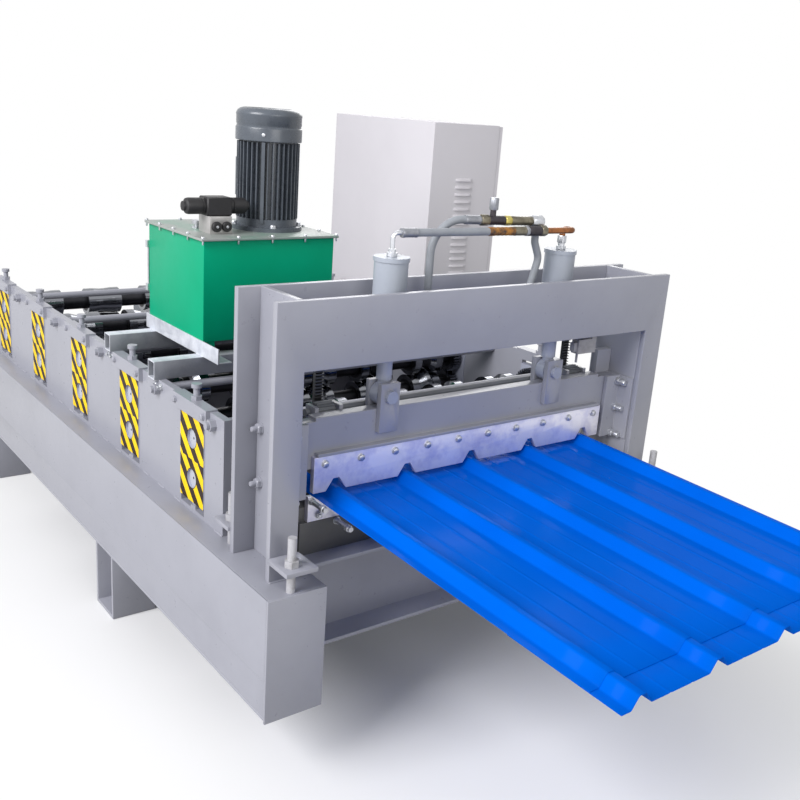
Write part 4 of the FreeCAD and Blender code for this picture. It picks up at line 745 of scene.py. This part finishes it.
# Each: name, line, from X, to X, shape, its size, material, finish label
pieces = [
    ("upper_left_ferrule", upper_line, -0.304, -0.252, crimped, 0.0135, steel_grey, "zinc"),
    ("orange_sleeve", upper_line, 0.000, 0.096, crimped, 0.0128, orange, "brass"),
    ("upper_right_ferrule", upper_line, 0.096, 0.140, crimped, 0.0135, olive, "brass"),
    ("upper_nut", upper_line, 0.140, 0.152, hex_piece, 0.027, steel_grey, "zinc"),
    ("upper_tee", upper_line, 0.152, 0.200, crimped, 0.015, dark_tee, "dark_steel"),
    ("pipe_nut", upper_line, 0.200, 0.222, hex_piece, 0.030, olive, "brass"),
    ("loop_ferrule", lower_line, -0.064, -0.008, crimped, 0.0135, steel_grey, "zinc"),
    ("loop_nut", lower_line, -0.008, 0.022, hex_piece, 0.030, olive, "brass"),
    ("lower_tee", lower_line, 0.022, 0.080, crimped, 0.014, dark_tee, "dark_steel"),
    ("yellow_union", lower_line, 0.080, 0.104, hex_piece, 0.027, brass, "brass"),
    ("olive_ferrule", lower_line, 0.104, 0.184, crimped, 0.014, olive, "brass"),
    ("end_union", lower_line, 0.184, 0.226, hex_piece, 0.034, zinc, "zinc")]
for name, line, x0, x1, shape, size, material, finish in pieces:
    first, last = on_line(line, x0), on_line(line, x1)
    length = np.linalg.norm(last - first)
    turned(name, [first], (last - first)/length, shape(size, length), material, 30)
riser, drop = on_line(lower_line, 0.038), on_line(lower_line, 0.206)
turned("riser_stem", [riser], (0, 0, 1), [(0.009, 0, 0), (0.009, 0.034, 0)], dark_tee)
turned("riser_nut", [riser + (0, 0, 0.030)], (0, 0, 1), hex_piece(0.026, 0.036), steel_grey, 30)
turned("drop_ferrule", [drop], (0, 0, -1), crimped(0.0135, 0.040), steel_grey)
caps = [(middle + side*ram_x, ram_y, cap_z) for side in (-1, 1)]
turned("cap_nuts", caps, (0, 0, 1), hex_piece(0.028, 0.012) + [(0.0108, 0.012, 0), (0.0108, 0.021, 0)],
       zinc, 30)
turned("pipe_cap_nut", [(caps[1][0], caps[1][1], cap_z + 0.020)], (0, 0, 1), hex_piece(0.026, 0.024),
       zinc, 30)
left_cap, right_cap = (np.array(cap) + (0, 0, 0.019) for cap in caps)
elbow_path = rounded_path([left_cap, upper_line[0], on_line(upper_line, -0.300)], [0.014])
elbow = swept("left_elbow", elbow_path, 0.0065, zinc)
pipe_end = (right_cap[0], right_cap[1], pipe_z)
pipe_path = rounded_path([on_line(upper_line, 0.222), upper_line[1], pipe_end, right_cap], [0.013]*2)
swept("copper_pipe", pipe_path, 0.0095, copper)
port_z, port_x, collar = cap_z - 0.198, ram_x - flange_radius, 0.018
port_rings = [(0.015, -0.004, 0), (0.015, collar, 0)]
port_rings += [(radius, z + collar, six) for radius, z, six in hex_piece(0.030, 0.018)]
for side, y, label in ((-1, on_line(lower_line, -0.172)[1], "left"), (1, drop[1], "right")):
    turned(f"lower_port_{label}", [(middle + side*(port_x + collar), y, port_z)], (-side, 0, 0), port_rings,
           zinc, 30)
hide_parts("hose_fittings")
hose_rubber = coated("hose_rubber", (146, 150, 156), (128, 132, 138), patches=0.5, size=22.0, roughness=0.5,
                     bump=0.0001)
dress(hose_rubber, "hydraulic_hoses")


# Control cabinet
# Folded sheet steel with a fine-textured powder coat in warm grey, louvres down one side and a
# hinged door with a flush handle.
powder_coat = coated("powder_coat", (208, 205, 209), (198, 195, 199), patches=0.3, size=3.0, roughness=0.5,
                     bump=0.00012)
softened("control_cabinet", powder_coat, edge=0.003)
cabinet_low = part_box("control_cabinet")[0]


def louvres(name, places, half_width=0.049, depth=0.009, half_height=0.011):
    """Pressed louvres on a face toward -Y: across X the lip bulges by depth*sqrt(1 - u^6), down Z its
    profile rises slowly and falls back sharply at the open lower edge."""
    profile = np.array([(0.75, -0.3), (0.68, 0.1), (0.4, 0.5), (0.0, 0.85), (-0.45, 1.0), (-0.52, 0.9),
                        (-0.4, 0.3), (-0.4, -0.3)])
    u = np.linspace(-1, 1, 11)
    swell = np.sqrt(1 - np.clip(np.abs(u), 0, 0.999)**6)
    bulge = profile[None, :, 1]*np.where(profile[:, 1] > 0, swell[:, None], 1)
    points, faces = [], []
    for x, y, z in places:
        ring = np.empty((len(u), len(profile), 3))
        ring[..., 0] = x + u[:, None]*half_width
        ring[..., 1] = y - depth*bulge
        ring[..., 2] = z + half_height*profile[None, :, 0]
        faces += grid_faces(len(u), len(profile), len(points))
        points += ring.reshape(-1, 3).tolist()
    return link_piece(name, points, faces, powder_coat)


louvre_x, louvre_zs = cabinet_low.x + 0.191, 1.122 + np.arange(14)*0.0323
louvres("louvres", [(louvre_x, cabinet_low.y, z) for z in louvre_zs])
door_low, door_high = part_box("cabinet_door")


def door_paint():
    """The cabinet's coat with a flush black handle inside its outline in Y and Z."""
    material = powder_coat.copy()
    material.name = "door_paint"
    tree = material.node_tree
    shader, skin = tree.nodes["Principled BSDF"], tree.nodes["Group"]
    place = add(tree, "SeparateXYZ", {"Vector": add(tree, "TexCoord").outputs["Object"]})
    handle_y, handle_z, half_width, half_height = door_low.y + 0.055, 1.02, 0.015, 0.08
    near_y = maths(tree, "COMPARE", place.outputs["Y"], handle_y, half_width)
    near_z = maths(tree, "COMPARE", place.outputs["Z"], handle_z, half_height)
    handle = maths(tree, "MULTIPLY", near_y, near_z)
    shown = blended(tree, handle, skin.outputs["Color"], enamel(30, 30, 32))
    tree.links.new(shown, shader.inputs["Base Color"])
    return material


softened("cabinet_door", door_paint(), edge=0.003)
turned("door_hinges", [(door_high.x - 0.011, door_high.y + 0.0005, z) for z in (0.25, 1.55)], (0, 0, 1),
       [(0.008, 0, 0), (0.008, 0.06, 0)], zinc)


# Drive and entry guide
# Gearmotor in a cast housing, bolted to a plate across the infeed end. Roller chains run along
# the right side to the sprockets of the lower shafts; a welded guide leads the strip in.
dress(motor_paint, "drive_gearmotor")
dress(machine_enamel, "drive_base_plate", "entry_guide")


def chain_steel():
    """Links as alternate bright and dark plates every half inch along the run."""
    material = coated("chain_steel", (120, 118, 116), (80, 78, 76), patches=0.6, size=40.0, roughness=0.34,
                      metallic=0.8)
    tree = material.node_tree
    shader, skin = tree.nodes["Principled BSDF"], tree.nodes["Group"]
    links = add(tree, "TexWave", {"Vector": add(tree, "TexCoord").outputs["Object"], "Scale": 12.4},
                bands_direction="Y")
    colour = blended(tree, links.outputs["Fac"], enamel(44, 42, 42), skin.outputs["Color"])
    tree.links.new(colour, shader.inputs["Base Color"])
    return material


dress(chain_steel(), "drive_chains")


# Floor, light and camera
# A pale studio floor, one broad soft lamp high on the left, a wide one ahead and one behind, and
# the camera at the photograph's viewing angle.
def studio_floor():
    """Pale matt floor with the object's shadow near it; farther out the camera and reflections see
    plain white, mixed in by the distance from the middle."""
    material = bpy.data.materials.new("studio_floor")
    material.use_nodes = True
    tree = material.node_tree
    shader, out = tree.nodes["Principled BSDF"], tree.nodes["Material Output"]
    shader.inputs["Roughness"].default_value = 0.9
    shader.inputs["Specular IOR Level"].default_value = 0.1
    place = add(tree, "Mapping", {"Vector": add(tree, "TexCoord").outputs["Object"],
                                  "Scale": (1.0, 0.55, 1.0)})
    away = add(tree, "VectorMath", {0: place.outputs[0]}, operation="LENGTH")
    far = add(tree, "MapRange", {"Value": away.outputs["Value"], "From Min": 0.9, "From Max": 1.9})
    ray = add(tree, "LightPath")
    seen = maths(tree, "MAXIMUM", ray.outputs["Is Camera Ray"], ray.outputs["Is Glossy Ray"])
    base = blended(tree, seen, (0.5, 0.5, 0.5, 1), (0.86, 0.86, 0.86, 1))
    tree.links.new(base, shader.inputs["Base Color"])
    share = maths(tree, "MULTIPLY", far.outputs["Result"], seen)
    glow = add(tree, "Emission", {"Color": (1, 1, 1, 1), "Strength": 1.0})
    mixed = add(tree, "MixShader", {0: share, 1: shader.outputs[0], 2: glow.outputs[0]})
    tree.links.new(mixed.outputs[0], out.inputs["Surface"])
    return material


floor_mesh = bpy.data.meshes.new("floor")
reach, floor_z = 14.0, -0.001
floor_mesh.from_pydata([(x*reach, y*reach, floor_z) for x, y in ((-1, -1), (1, -1), (1, 1), (-1, 1))],
                       [], [(0, 1, 2, 3)])
floor_mesh.materials.append(studio_floor())
floor = bpy.data.objects.new("floor", floor_mesh)
scene.collection.objects.link(floor)

world = bpy.data.worlds.new("studio")
scene.world = world
world.use_nodes = True
sky = world.node_tree
for old in list(sky.nodes):
    sky.nodes.remove(old)
ray = add(sky, "LightPath")
white = add(sky, "Background", {"Color": (1, 1, 1, 1), "Strength": 1.0})
fill = add(sky, "Background", {"Color": (0.93, 0.95, 1.0, 1), "Strength": 0.36})
seen = maths(sky, "MAXIMUM", ray.outputs["Is Camera Ray"], ray.outputs["Is Glossy Ray"])
either = add(sky, "MixShader", {0: seen, 1: fill.outputs[0], 2: white.outputs[0]})
add(sky, "OutputWorld", {"Surface": either.outputs[0]})


def lamp(name, place, target, size, power, colour):
    """A square soft lamp aimed at a point."""
    data = bpy.data.lights.new(name, "AREA")
    data.size, data.energy, data.color = size, power, colour
    made = bpy.data.objects.new(name, data)
    scene.collection.objects.link(made)
    made.location = place
    made.rotation_euler = (Vector(target) - Vector(place)).to_track_quat("-Z", "Y").to_euler()


lamp("window_light", (-9.0, -1.6, 6.6), (0, 0.6, 0.9), 6.0, 1340, (0.985, 0.98, 1.0))
lamp("front_fill", (-1.0, -6.5, 3.2), (0, 0, 0.7), 3.5, 120, (1.0, 0.99, 0.97))
lamp("back_fill", (4.5, 5.0, 4.5), (0, 0, 0.8), 4.0, 160, (1.0, 1.0, 1.0))

camera_data = bpy.data.cameras.new("camera")
camera = bpy.data.objects.new("camera", camera_data)
scene.collection.objects.link(camera)
scene.camera = camera
right, down = Vector((0.7987, -0.5977, 0.06953)), Vector((-0.12239, -0.27449, -0.95377))
ahead = Vector((0.58915, 0.75327, -0.29239))
stand = Matrix((right, -down, -ahead)).transposed().to_4x4()
stand.translation = Vector((-2.1061, -2.9975, 1.8449))
camera.matrix_world = stand
camera_data.sensor_width = 36.0
camera_data.lens = 43.18
camera_data.shift_x, camera_data.shift_y = -0.0025, -0.0006
camera_data.clip_start, camera_data.clip_end = 0.05, 60.0
